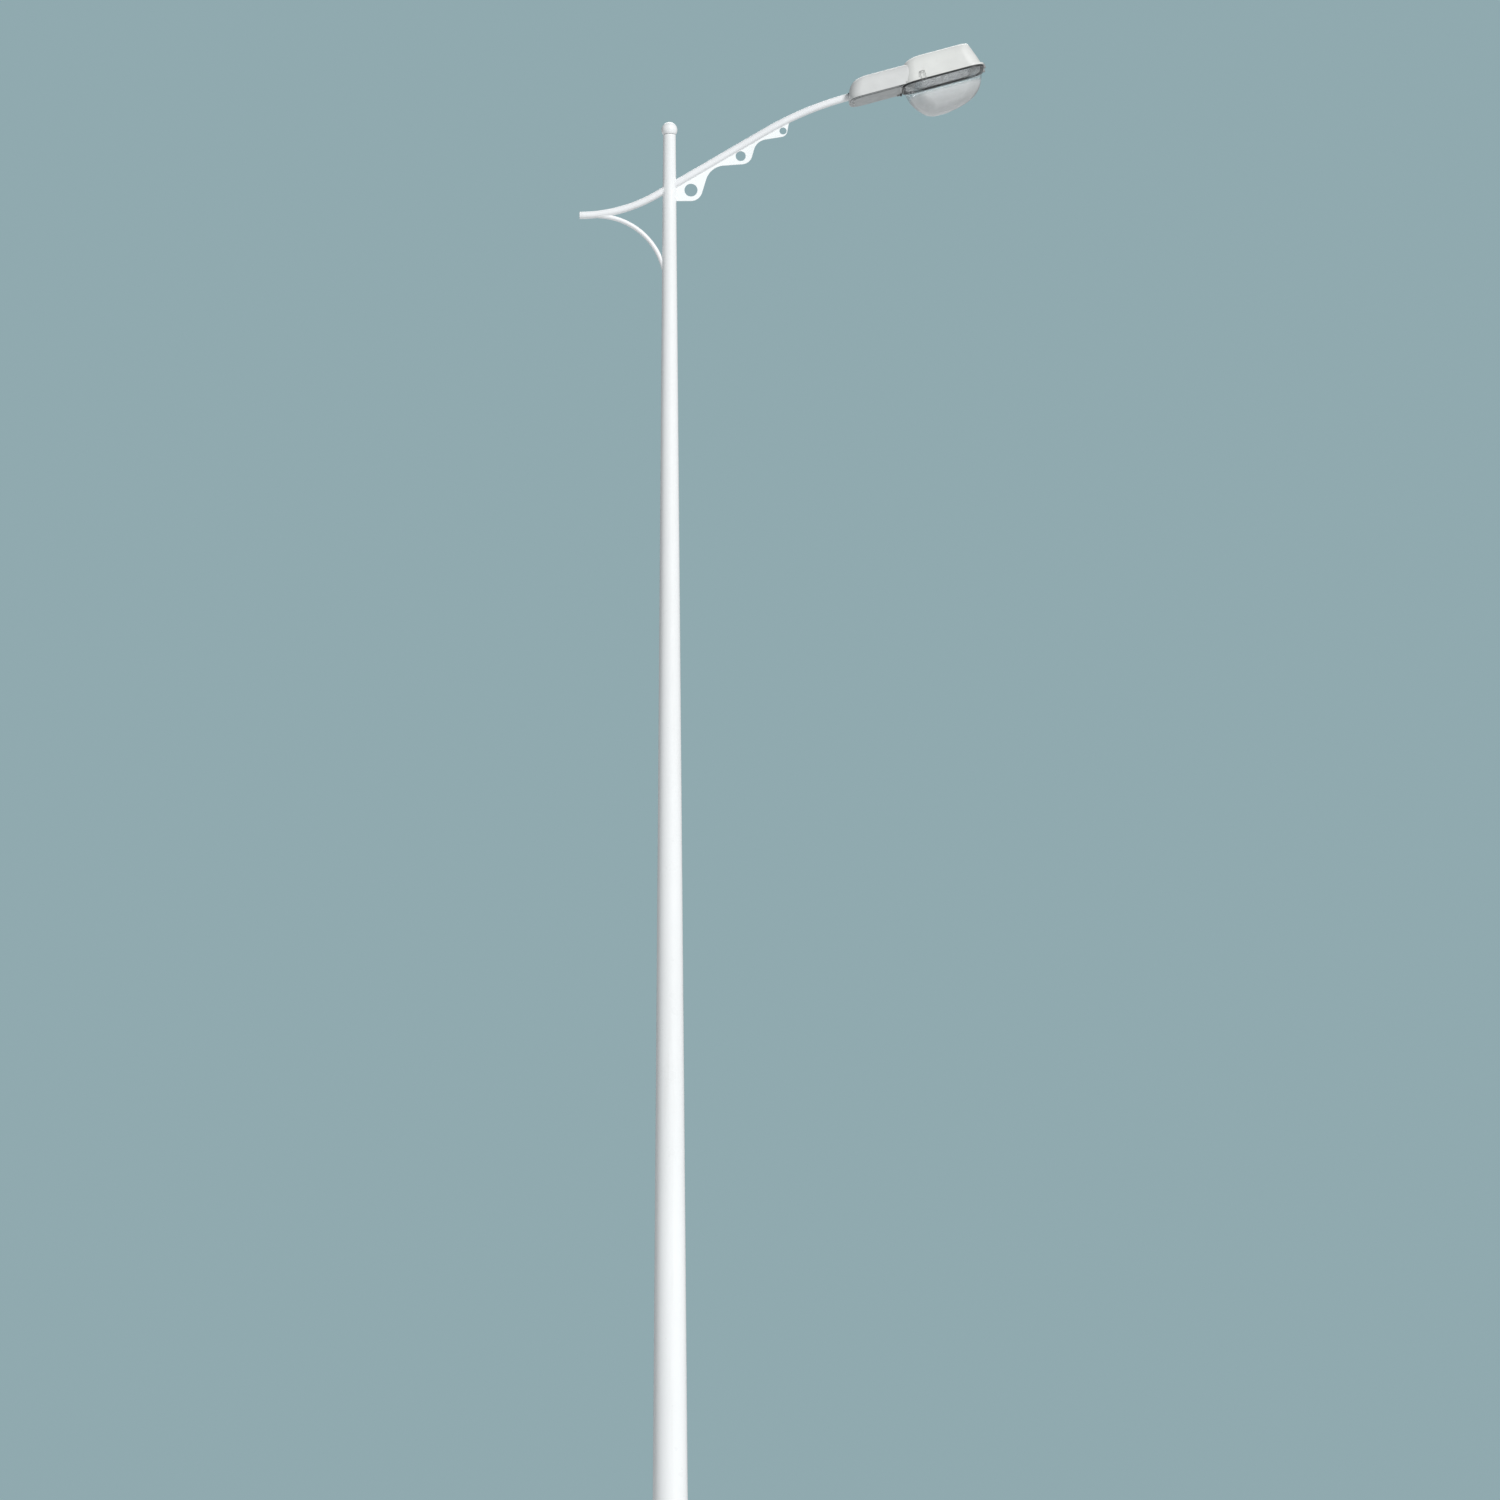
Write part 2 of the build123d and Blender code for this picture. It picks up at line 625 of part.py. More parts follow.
def hood(length, width, u, corner, v, height, taper, crown):
    """A solid with a rounded rectangular foot, leaning walls and a rounded top edge."""
    with BuildPart() as solid:
        with BuildSketch(head.offset(v)):
            with Locations((u, 0)):
                RectangleRounded(length, width, corner)
        extrude(amount=height, taper=taper)
        fillet(solid.edges().group_by(V_AXIS)[-1], crown)
    return solid.part


def lofted(levels, inset):
    """A solid through rounded rectangles at several levels, its surface moved in by inset."""
    rise = inset if levels[-1][0] < levels[0][0] else -inset
    with BuildPart() as solid:
        for v, u0, u1, width, corner in levels:
            shift = 0 if v == levels[0][0] else rise
            with BuildSketch(head.offset(v + shift)):
                with Locations(((u0 + u1) / 2, 0)):
                    RectangleRounded(u1 - u0 - 2 * inset, width - 2 * inset, corner - inset)
        loft()
    return solid.part


def rear_wall_u(v):
    """Where the canopy's rear wall is at a height."""
    lower = max(level for level in CANOPY_LEVELS if level[0] <= v)
    upper = min(level for level in CANOPY_LEVELS if level[0] > v)
    share = (v - lower[0]) / (upper[0] - lower[0])
    return lower[1] + share * (upper[1] - lower[1])


def rim_ring(outset, inset, v, height):
    """A ring that follows the canopy's rim, from outset outside it to inset inside it."""
    with BuildPart() as ring:
        with BuildSketch(head.offset(v)):
            with Locations((CANOPY_U, 0)):
                RectangleRounded(CANOPY_L + 2 * outset, CANOPY_W + 2 * outset, CANOPY_CORNER + outset)
                RectangleRounded(
                    CANOPY_L - 2 * inset, CANOPY_W - 2 * inset, CANOPY_CORNER - inset, mode=Mode.SUBTRACT
                )
        extrude(amount=height)
    return ring.part


def rod_across(radius, u, v, y, width):
    """A round solid across the luminaire, centred on y."""
    with BuildPart() as rod:
        with BuildSketch(head_side.offset(-y)):
            with Locations((u, v)):
                Circle(radius)
        extrude(amount=width / 2, both=True)
    return rod.part


def rod_along(radius, y, v, u0, u1):
    """A round solid along the luminaire."""
    with BuildPart() as rod:
        with BuildSketch(head_cross.offset(u0)):
            with Locations((y, v)):
                Circle(radius)
        extrude(amount=u1 - u0)
    return rod.part


def head_box(u0, u1, y0, y1, v0, v1):
    """A block in the luminaire's own frame."""
    with BuildPart(head) as block:
        with Locations(((u0 + u1) / 2, (y0 + y1) / 2, (v0 + v1) / 2)):
            Box(u1 - u0, y1 - y0, v1 - v0)
    return block.part


# ---------------------------------------------------------------- canopy
canopy_outer = lofted(CANOPY_LEVELS, 0)
canopy_inner = lofted(CANOPY_LEVELS, CANOPY_WALL)
canopy_flange = rim_ring(FLANGE_OUT, CANOPY_WALL, RIM_V, FLANGE_H)
LEAD_V = 5
LEAD_R = 3.5
GROMMET_R = 7
JOINT_SCREWS = ((75, -22), (60, 70))  # y and v of the screws that join housing and canopy
JOINT_SCREW_R = 3
JOINT_HEAD_R = 5.5
JOINT_BOSS_R = 12
CATCH_V = (-2, 5)
CATCH_Y = (150, 166)
CATCH_W = 12
lead_hole = rod_along(GROMMET_R, 0, LEAD_V, CANOPY_U0 - 20, CANOPY_U0 + 30)
joint_axes = [(side * y, v) for side in SIDES for y, v in JOINT_SCREWS]
joint_holes = [rod_along(JOINT_SCREW_R, y, v, CANOPY_U0 - 25, CANOPY_U0 + 40) for y, v in joint_axes]
catches = [
    head_box(CLIP_U - CATCH_W / 2, CLIP_U + CATCH_W / 2, *sorted((s * CATCH_Y[0], s * CATCH_Y[1])), *CATCH_V)
    for s in SIDES
]
with BuildPart() as canopy:
    add(canopy_outer)
    for catch in catches:
        add(catch)
    add(canopy_inner, mode=Mode.SUBTRACT)
    add(lead_hole, mode=Mode.SUBTRACT)
    for hole in joint_holes:
        add(hole, mode=Mode.SUBTRACT)
save(canopy, "canopy")

# band that stands out round the shell's lower edge
with BuildPart() as canopy_rim:
    add(canopy_flange)
    add(canopy_outer, mode=Mode.SUBTRACT)
save(canopy_rim, "canopy_rim")

GASKET_OUT = -1
GASKET_IN = 11
gasket_ring = rim_ring(GASKET_OUT, GASKET_IN, RIM_V - GASKET_H, GASKET_H)
with BuildPart() as canopy_gasket:
    add(gasket_ring)
save(canopy_gasket, "canopy_gasket")

# ---------------------------------------------------------------- gear housing
housing_u = HOUSING_LENGTH / 2
housing_outer = lofted(HOUSING_LEVELS, 0)
housing_inner = lofted(HOUSING_LEVELS, HOUSING_WALL)
SILL_U = (300, 315)
SILL_H = 8
ENTRY_R = 24
BOSS_U = (2, 40)
BOSS_W = 24
BOSS_TOP = -26.5
SCREW_U = 22
SCREW_R = 3
SCREW_HOLE_R = 4.3
TRAY_U = (130, 300)
TRAY_W = 220
TRAY_THICK = 2
TRAY_SCREW_R = 3
TRAY_SCREWS = [(u, y) for u in (150, 285) for y in (-90, 90)]
roof_v = HOUSING_LEVELS[-1][0]
details = [
    head_box(*SILL_U, -HOUSING_W / 2, HOUSING_W / 2, HOUSING_V, HOUSING_V + SILL_H),
    head_box(*BOSS_U, -BOSS_W / 2, BOSS_W / 2, HOUSING_V, BOSS_TOP),
]
details += [rod_along(JOINT_BOSS_R, y, v, CANOPY_U0 - 22, CANOPY_U0 + 40) for y, v in joint_axes]


def upright(radius, u, y, v0, v1):
    """A round solid that stands up in the luminaire."""
    with BuildPart() as post:
        with BuildSketch(head.offset(v0)):
            with Locations((u, y)):
                Circle(radius)
        extrude(amount=v1 - v0)
    return post.part


details += [upright(2 * TRAY_SCREW_R, u, y, TRAY_V + TRAY_THICK, roof_v) for u, y in TRAY_SCREWS]
tray_screw_holes = [upright(TRAY_SCREW_R, u, y, TRAY_V - 4, TRAY_V + 15) for u, y in TRAY_SCREWS]
screw_hole = upright(SCREW_HOLE_R, SCREW_U, 0, HOUSING_V - 1, BOSS_TOP + 1)
entry_hole = rod_along(ENTRY_R, 0, 0, -10, 20)
with BuildPart() as housing_details:
    for detail in details:
        add(detail)
    add(housing_outer, mode=Mode.INTERSECT)
with BuildPart() as rear_housing:
    add(housing_outer)
    add(housing_inner, mode=Mode.SUBTRACT)
    add(housing_details.part)
    add(canopy_outer, mode=Mode.SUBTRACT)
    add(canopy_flange, mode=Mode.SUBTRACT)
    for hole in [screw_hole, entry_hole] + tray_screw_holes + joint_holes:
        add(hole, mode=Mode.SUBTRACT)
save(rear_housing, "rear_housing")

arm_end = rod_along(ARM_R, 0, 0, -5, SPIGOT_LENGTH)
seal_ring = rod_along(ENTRY_R, 0, 0, 5, 12)
with BuildPart() as spigot_seal:
    add(seal_ring)
    add(arm_end, mode=Mode.SUBTRACT)
save(spigot_seal, "spigot_seal")

SADDLE_U = (30, 100)
STRAP_U = (50, 80)
SADDLE_Y = 46
SPLIT_GAP = 3
SADDLE_V = 60
STRAP_V = -32
BOLT_R = 5
BOLT_Y = 34
bolt_u = sum(STRAP_U) / 2
saddle_block = head_box(*SADDLE_U, -SADDLE_Y, SADDLE_Y, SPLIT_GAP, SADDLE_V)
saddle_rib = head_box(SADDLE_U[0] + 5, SADDLE_U[1] - 5, -12, 12, SADDLE_V, roof_v)
bolt_holes = [upright(BOLT_R, bolt_u, side * BOLT_Y, STRAP_V, 30) for side in SIDES]
with BuildPart() as spigot_saddle:
    add(saddle_block)
    add(saddle_rib)
    add(housing_inner, mode=Mode.INTERSECT)
    add(arm_end, mode=Mode.SUBTRACT)
    for hole in bolt_holes:
        add(hole, mode=Mode.SUBTRACT)
save(spigot_saddle, "spigot_saddle")

strap_block = head_box(*STRAP_U, -SADDLE_Y, SADDLE_Y, STRAP_V, -SPLIT_GAP)
with BuildPart() as spigot_strap:
    add(strap_block)
    fillet(spigot_strap.edges().filter_by(Axis(head_origin, u_dir)).group_by(V_AXIS)[0], 8)
    add(arm_end, mode=Mode.SUBTRACT)
    for hole in bolt_holes:
        add(hole, mode=Mode.SUBTRACT)
save(spigot_strap, "spigot_strap")

BOLT_HEAD_H = 4.5
with BuildPart() as spigot_bolts:
    for side in SIDES:
        with BuildSketch(head.offset(STRAP_V - BOLT_HEAD_H)):
            with Locations((bolt_u, side * BOLT_Y)):
                RegularPolygon(8.5, 6)
        extrude(amount=BOLT_HEAD_H)
    for hole in bolt_holes:
        add(hole)
save(spigot_bolts, "spigot_bolts")

# ---------------------------------------------------------------- gear
CAPACITOR_Y = 62
CAPACITOR_V = 38
CAPACITOR_R = 20
CAPACITOR_U = (185, 275)
TAG_R = 2
TAG_OFFSET = 7
TAG_LENGTH = 8
HANGER_U = (154, 156)
HANGER_Y = (-22, 22)
BAND_U = (220, 240)
BAND_THICK = 2
BAND_FOOT = 8
CORE_BOX = (195, 275, -92, -26, 22, TRAY_V)
WINDING_BOX = (180, 290, -82, -36, 28, 54)
WINDING_CORNER = 8
IGNITOR_BOX = (200, 270, -18, 16, 30, TRAY_V)
IGNITOR_CORNER = 4
TRAY_CORNER = 8
TERMINAL_HALF = 30
TERMINAL_SCREW_R = 3.2
TERMINAL_SCREW_DEPTH = 6
BLOCK_U = (TERMINAL_U, 170)
BLOCK_V = (-14, 16)
tray_block = head_box(*TRAY_U, -TRAY_W / 2, TRAY_W / 2, TRAY_V, TRAY_V + TRAY_THICK)
hanger = head_box(*HANGER_U, *HANGER_Y, BLOCK_V[1], TRAY_V)
clip_band = rod_along(CAPACITOR_R + BAND_THICK, CAPACITOR_Y, CAPACITOR_V, *BAND_U)
foot_y = (CAPACITOR_Y - BAND_FOOT, CAPACITOR_Y + BAND_FOOT)
clip_foot = head_box(*BAND_U, *foot_y, CAPACITOR_V + CAPACITOR_R - 1, TRAY_V)
capacitor_can = rod_along(CAPACITOR_R, CAPACITOR_Y, CAPACITOR_V, *CAPACITOR_U)
with BuildPart() as gear_tray:
    add(tray_block)
    fillet(gear_tray.edges().filter_by(V_AXIS), TRAY_CORNER)
    # bent tab for the terminals, and the band that holds the capacitor
    for piece in (hanger, clip_band, clip_foot):
        add(piece)
    add(capacitor_can, mode=Mode.SUBTRACT)
    for hole in tray_screw_holes:
        add(hole, mode=Mode.SUBTRACT)
save(gear_tray, "gear_tray")

with BuildPart() as housing_screws:
    for hole in tray_screw_holes:
        add(hole)
    for u, y in TRAY_SCREWS:
        add(upright(TRAY_SCREW_R + 2.5, u, y, TRAY_V - 4, TRAY_V))
    for y, v in joint_axes:
        wall_u = rear_wall_u(v + JOINT_HEAD_R) + CANOPY_WALL
        add(rod_along(JOINT_SCREW_R, y, v, CANOPY_U0 - 20, wall_u + 2))
        add(rod_along(JOINT_HEAD_R, y, v, wall_u, wall_u + 4))
save(housing_screws, "housing_screws")

core_block = head_box(*CORE_BOX)
winding_block = head_box(*WINDING_BOX)
with BuildPart() as ballast_core:
    add(core_block)
save(ballast_core, "ballast_core")

with BuildPart() as ballast_winding:
    add(winding_block)
    fillet(ballast_winding.edges().filter_by(V_AXIS), WINDING_CORNER)
    add(core_block, mode=Mode.SUBTRACT)
save(ballast_winding, "ballast_winding")

ignitor_block = head_box(*IGNITOR_BOX)
with BuildPart() as ignitor:
    add(ignitor_block)
    fillet(ignitor.edges().filter_by(V_AXIS), IGNITOR_CORNER)
save(ignitor, "ignitor")

tag_u = (CAPACITOR_U[0] - TAG_LENGTH, CAPACITOR_U[0])
capacitor_tags = [rod_along(TAG_R, CAPACITOR_Y + s * TAG_OFFSET, CAPACITOR_V, *tag_u) for s in SIDES]
with BuildPart() as capacitor:
    add(capacitor_can)
    for tag in capacitor_tags:
        add(tag)
save(capacitor, "capacitor")

terminal_body = head_box(*BLOCK_U, -TERMINAL_HALF, TERMINAL_HALF, *BLOCK_V)
with BuildPart() as lamp_terminals:
    add(terminal_body)
    with BuildSketch(head.offset(BLOCK_V[0])):
        with Locations((sum(BLOCK_U) / 2, 0)):
            with GridLocations(16, 18, 2, 3):
                Circle(3.2)
    extrude(amount=6, mode=Mode.SUBTRACT)
save(lamp_terminals, "lamp_terminals")

# ---------------------------------------------------------------- lamp
HOLDER_U = (353, 415)
HOLDER_R = 28
SOCKET_R = 20
CAP_R = 19.5
BULB_R = 23
BULB_NECK_R = 17
BULB_END = 640
BULB_WALL = 1.5
lead_rod = rod_along(LEAD_R, 0, LEAD_V, BLOCK_U[1], HOLDER_U[0])
with BuildPart() as lamp_lead:
    add(lead_rod)
save(lamp_lead, "lamp_lead")

grommet_rod = rod_along(GROMMET_R, 0, LEAD_V, 331, 342)
with BuildPart() as lead_grommet:
    add(grommet_rod)
    add(lead_rod, mode=Mode.SUBTRACT)
save(lead_grommet, "lead_grommet")

holder_plate = head_box(HOLDER_U[0] - 3, HOLDER_U[0], -32, 32, -12, 50)
plate_feet = [head_box(CANOPY_U0, HOLDER_U[0] - 3, *sorted((s * 26, s * 32)), -5, 25) for s in SIDES]
with BuildPart() as holder_bracket:
    add(holder_plate)
    for foot in plate_feet:
        add(foot)
    add(canopy_inner, mode=Mode.INTERSECT)
    add(lead_rod, mode=Mode.SUBTRACT)
save(holder_bracket, "holder_bracket")

holder_body = rod_along(HOLDER_R, 0, LAMP_V, *HOLDER_U)
socket_bore = rod_along(SOCKET_R, 0, LAMP_V, HOLDER_U[1] - 40, HOLDER_U[1])
with BuildPart() as lampholder:
    add(holder_body)
    fillet(lampholder.edges().sort_by(Axis(head_origin, u_dir))[-1], 3)
    add(socket_bore, mode=Mode.SUBTRACT)
save(lampholder, "lampholder")

lamp_side = Plane(origin=head.offset(LAMP_V).origin, x_dir=u_dir, z_dir=(0, -1, 0))
lamp_axis = Axis(lamp_side.origin, u_dir)
cap_rod = rod_along(CAP_R, 0, LAMP_V, HOLDER_U[1] - 34, HOLDER_U[1] - 2)
cap_tip = rod_along(8, 0, LAMP_V, HOLDER_U[1] - 40, HOLDER_U[1] - 34)
with BuildPart() as lamp_cap:
    add(cap_rod)
    add(cap_tip)
save(lamp_cap, "lamp_cap")


def bulb_form(inset):
    """The bulb's outline turned about the lamp's axis, its surface moved in by inset."""
    neck_u = HOLDER_U[1] - 2 + inset
    neck = BULB_NECK_R - inset
    body = BULB_R - inset
    dome_u = BULB_END - BULB_R
    with BuildPart() as form:
        with BuildSketch(lamp_side):
            with BuildLine():
                Polyline((dome_u, 0), (neck_u, 0), (neck_u, neck), (HOLDER_U[1] + 10, neck))
                Polyline((HOLDER_U[1] + 10, neck), (HOLDER_U[1] + 22, body), (dome_u, body))
                RadiusArc((dome_u, body), (dome_u + body, 0), body)
                Line((dome_u + body, 0), (dome_u, 0))
            make_face()
        revolve(axis=lamp_axis)
    return form.part


bulb_outside = bulb_form(0)
bulb_inside = bulb_form(BULB_WALL)
with BuildPart() as bulb_glass:
    add(bulb_outside)
    add(bulb_inside, mode=Mode.SUBTRACT)
save(bulb_glass, "bulb_glass")

ARC_R = 6
ARC_U = (470, 560)
WIRE_R = 1
WIRE_DROP = 13
arc_body = rod_along(ARC_R, 0, LAMP_V, *ARC_U)
with BuildLine(head_side) as return_wire:
    FilletPolyline(
        (HOLDER_U[1] + 2, LAMP_V - WIRE_DROP),
        (ARC_U[1] + 25, LAMP_V - WIRE_DROP),
        (ARC_U[1] + 25, LAMP_V),
        (ARC_U[1], LAMP_V),
        radius=5,
    )
wire_start = Plane(origin=return_wire.wire() @ 0, z_dir=return_wire.wire() % 0)
lead_wire = rod_along(WIRE_R, 0, LAMP_V, HOLDER_U[1] + 2, ARC_U[0])
with BuildPart() as arc_tube:
    with BuildSketch(wire_start):
        Circle(WIRE_R)
    sweep(path=return_wire.wire())
    add(arc_body)
    add(lead_wire)
save(arc_tube, "arc_tube")

# ---------------------------------------------------------------- reflector
REFLECTOR_L = 340
REFLECTOR_W = 290
REFLECTOR_CORNER = 70
REFLECTOR_V = -36
REFLECTOR_H = 120
REFLECTOR_TAPER = 14
REFLECTOR_CROWN = 30
REFLECTOR_WALL = 1.2
PLATE_OUT = -4
PLATE_LIP = 2
SHEET = 1.5
reflector_inset = REFLECTOR_WALL / cos(radians(REFLECTOR_TAPER))
reflector_outer = hood(
    REFLECTOR_L,
    REFLECTOR_W,
    CANOPY_U,
    REFLECTOR_CORNER,
    REFLECTOR_V,
    REFLECTOR_H,
    REFLECTOR_TAPER,
    REFLECTOR_CROWN,
)
reflector_inner = hood(
    REFLECTOR_L - 2 * reflector_inset,
    REFLECTOR_W - 2 * reflector_inset,
    CANOPY_U,
    REFLECTOR_CORNER - reflector_inset,
    REFLECTOR_V,
    REFLECTOR_H - REFLECTOR_WALL,
    REFLECTOR_TAPER,
    REFLECTOR_CROWN - REFLECTOR_WALL,
)
holder_hole = rod_along(HOLDER_R + 3, 0, LAMP_V, HOLDER_U[0], HOLDER_U[1] + 30)
with BuildPart() as reflector:
    add(reflector_outer)
    add(reflector_inner, mode=Mode.SUBTRACT)
    add(holder_hole, mode=Mode.SUBTRACT)
save(reflector, "reflector")

with BuildPart() as reflector_plate:
    with BuildSketch(head.offset(REFLECTOR_V - SHEET)):
        with Locations((CANOPY_U, 0)):
            RectangleRounded(
                CANOPY_L + 2 * PLATE_OUT, CANOPY_W + 2 * PLATE_OUT, CANOPY_CORNER + PLATE_OUT
            )
            RectangleRounded(
                REFLECTOR_L - 2 * PLATE_LIP,
                REFLECTOR_W - 2 * PLATE_LIP,
                REFLECTOR_CORNER - PLATE_LIP,
                mode=Mode.SUBTRACT,
            )
    extrude(amount=SHEET)
save(reflector_plate, "reflector_plate")

# ---------------------------------------------------------------- gear cover
COVER_INSET = 3
COVER_TOP = -38.8
COVER_THICK = 3.2
PAN_INSET = 18
PAN_DROP = 3
PAN_U1 = 288
SEAL_TOP = -37.2
SEAL_INSET = 12
KNUCKLE_R = 6
KNUCKLE_W = 12
EAR_R = 6
EAR_THICK = 3
LUM_PIN_R = 2


def cover_slab(inset, v, height, u_end):
    """A slab of the housing's outline, moved in by inset, that ends straight at u_end."""
    with BuildPart() as slab:
        with BuildSketch(head.offset(v)):
            with Locations((housing_u, 0)):
                RectangleRounded(
                    HOUSING_LENGTH - 2 * inset, HOUSING_W - 2 * inset, HOUSING_CORNER - inset
                )
            with Locations((u_end, 0)):
                Rectangle(HOUSING_LENGTH, HOUSING_W, align=(Align.MIN, Align.CENTER), mode=Mode.SUBTRACT)
        extrude(amount=height)
    return slab.part


cover_plate = cover_slab(COVER_INSET, COVER_TOP - COVER_THICK, COVER_THICK, COVER_U1 - 2)
cover_pan = cover_slab(PAN_INSET, COVER_TOP - COVER_THICK - PAN_DROP, PAN_DROP, PAN_U1)
strap_v = COVER_TOP - COVER_THICK
cover_straps = [
    head_box(
        PAN_U1,
        COVER_HINGE_U,
        side * COVER_HINGE_Y - KNUCKLE_W / 2,
        side * COVER_HINGE_Y + KNUCKLE_W / 2,
        COVER_HINGE_V - 1,
        strap_v,
    )
    for side in SIDES
]
cover_knuckles = [
    rod_across(KNUCKLE_R, COVER_HINGE_U, COVER_HINGE_V, side * COVER_HINGE_Y, KNUCKLE_W) for side in SIDES
]
cover_pin_bore = rod_across(LUM_PIN_R + PIN_FIT, COVER_HINGE_U, COVER_HINGE_V, 0, HOUSING_W)
cover_screw_shank = upright(SCREW_R, SCREW_U, 0, COVER_TOP - COVER_THICK - PAN_DROP, -28)
with BuildPart() as gear_cover:
    add(cover_plate)
    add(cover_pan)
    for piece in cover_straps + cover_knuckles:
        add(piece)
    add(cover_pin_bore, mode=Mode.SUBTRACT)
    add(cover_screw_shank, mode=Mode.SUBTRACT)
save(gear_cover, "gear_cover")

seal_outline = cover_slab(COVER_INSET, COVER_TOP, SEAL_TOP - COVER_TOP, COVER_U1 - 2)
seal_inside = cover_slab(SEAL_INSET, COVER_TOP, SEAL_TOP - COVER_TOP, COVER_U1 - SEAL_INSET)
screw_clearance = upright(SCREW_HOLE_R, SCREW_U, 0, COVER_TOP - 1, SEAL_TOP + 1)
with BuildPart() as cover_seal:
    add(seal_outline)
    add(seal_inside, mode=Mode.SUBTRACT)
    add(screw_clearance, mode=Mode.SUBTRACT)
save(cover_seal, "cover_seal")

SCREW_HEAD_R = 6
SCREW_HEAD_H = 4
head_v = COVER_TOP - COVER_THICK - PAN_DROP
with BuildPart() as cover_screw:
    add(upright(SCREW_HEAD_R, SCREW_U, 0, head_v - SCREW_HEAD_H, head_v))
    fillet(cover_screw.edges().group_by(V_AXIS)[0], 1)
    add(cover_screw_shank)
    add(head_box(SCREW_U - 0.8, SCREW_U + 0.8, -8, 8, head_v - 5, head_v - 2.5), mode=Mode.SUBTRACT)
save(cover_screw, "cover_screw")


def ear_pair(u, v, y, width, root_u, root_v):
    """Two hinge ears, one each side of a knuckle, with a stem up to root_v."""
    ears = []
    for side in SIDES:
        ear_y = y + side * (width / 2 + 2 * FIT + EAR_THICK / 2)
        ears.append(rod_across(EAR_R, u, v, ear_y, EAR_THICK))
        ears.append(head_box(*root_u, ear_y - EAR_THICK / 2, ear_y + EAR_THICK / 2, v, root_v))
    return ears


cover_ears = []
for side in SIDES:
    root_u = (COVER_HINGE_U - 4, SILL_U[1])
    cover_ears += ear_pair(
        COVER_HINGE_U, COVER_HINGE_V, side * COVER_HINGE_Y, KNUCKLE_W, root_u, HOUSING_V
    )
with BuildPart() as cover_hinge_brackets:
    for ear in cover_ears:
        add(ear)
    add(cover_pin_bore, mode=Mode.SUBTRACT)
save(cover_hinge_brackets, "cover_hinge_brackets")

# ---------------------------------------------------------------- bowl and its frame
FLANGE_TOP = -42
FLANGE_THICK = 3
bowl_outside = lofted(BOWL_LEVELS, 0)
bowl_inside = lofted(BOWL_LEVELS, BOWL_WALL)
bowl_rim = rim_ring(0, BOWL_FLANGE + BOWL_WALL / 2, FLANGE_TOP - FLANGE_THICK, FLANGE_THICK)
with BuildPart() as bowl:
    add(bowl_outside)
    add(bowl_rim)
    add(bowl_inside, mode=Mode.SUBTRACT)
save(bowl, "bowl")

FRAME_BOTTOM = -48
FRAME_TOP = -40.4
FRAME_SHELF_TOP = FLANGE_TOP - FLANGE_THICK
BOWL_KNUCKLE_W = 16
LUG_W = 12
LUG_Y = (174, 185)
CLIP_Y = 181
CLIP_V = -44
frame_shelf = rim_ring(FRAME_OUT, BOWL_FLANGE - 1, FRAME_BOTTOM, FRAME_SHELF_TOP - FRAME_BOTTOM)
frame_wall = rim_ring(FRAME_OUT, -1, FRAME_SHELF_TOP, FRAME_TOP - FRAME_SHELF_TOP)
bowl_pin_bore = rod_across(LUM_PIN_R + PIN_FIT, BOWL_HINGE_U, BOWL_HINGE_V, 0, HOUSING_W)
frame_pieces = [frame_shelf, frame_wall]
for side in SIDES:
    y = side * BOWL_HINGE_Y
    frame_pieces.append(rod_across(EAR_R, BOWL_HINGE_U, BOWL_HINGE_V, y, BOWL_KNUCKLE_W))
    frame_pieces.append(
        head_box(
            CANOPY_U1 + 2,
            BOWL_HINGE_U,
            y - BOWL_KNUCKLE_W / 2,
            y + BOWL_KNUCKLE_W / 2,
            FRAME_BOTTOM,
            BOWL_HINGE_V + 2,
        )
    )
    lug_y = sorted(side * y for y in LUG_Y)
    frame_pieces.append(
        head_box(CLIP_U - LUG_W / 2, CLIP_U + LUG_W / 2, *lug_y, FRAME_BOTTOM, FRAME_TOP)
    )
clip_bores = [
    rod_along(CLIP_WIRE_R + PIN_FIT, side * CLIP_Y, CLIP_V, CLIP_U - LUG_W, CLIP_U + LUG_W)
    for side in SIDES
]
with BuildPart() as bowl_frame:
    for piece in frame_pieces:
        add(piece)
    add(bowl_pin_bore, mode=Mode.SUBTRACT)
    for bore in clip_bores:
        add(bore, mode=Mode.SUBTRACT)
save(bowl_frame, "bowl_frame")

flange_front = CANOPY_U1 + FLANGE_OUT
bracket_w = BOWL_KNUCKLE_W + 2 * (2 * FIT + EAR_THICK)
bowl_ears = []
for side in SIDES:
    y = side * BOWL_HINGE_Y
    root_u = (flange_front, BOWL_HINGE_U + 4)
    bowl_ears += ear_pair(BOWL_HINGE_U, BOWL_HINGE_V, y, BOWL_KNUCKLE_W, root_u, RIM_V + FLANGE_H)
    bowl_ears.append(
        head_box(flange_front, flange_front + 2, y - bracket_w / 2, y + bracket_w / 2, RIM_V, RIM_V + FLANGE_H)
    )
with BuildPart() as bowl_hinge_brackets:
    for ear in bowl_ears:
        add(ear)
    add(bowl_pin_bore, mode=Mode.SUBTRACT)
save(bowl_hinge_brackets, "bowl_hinge_brackets")

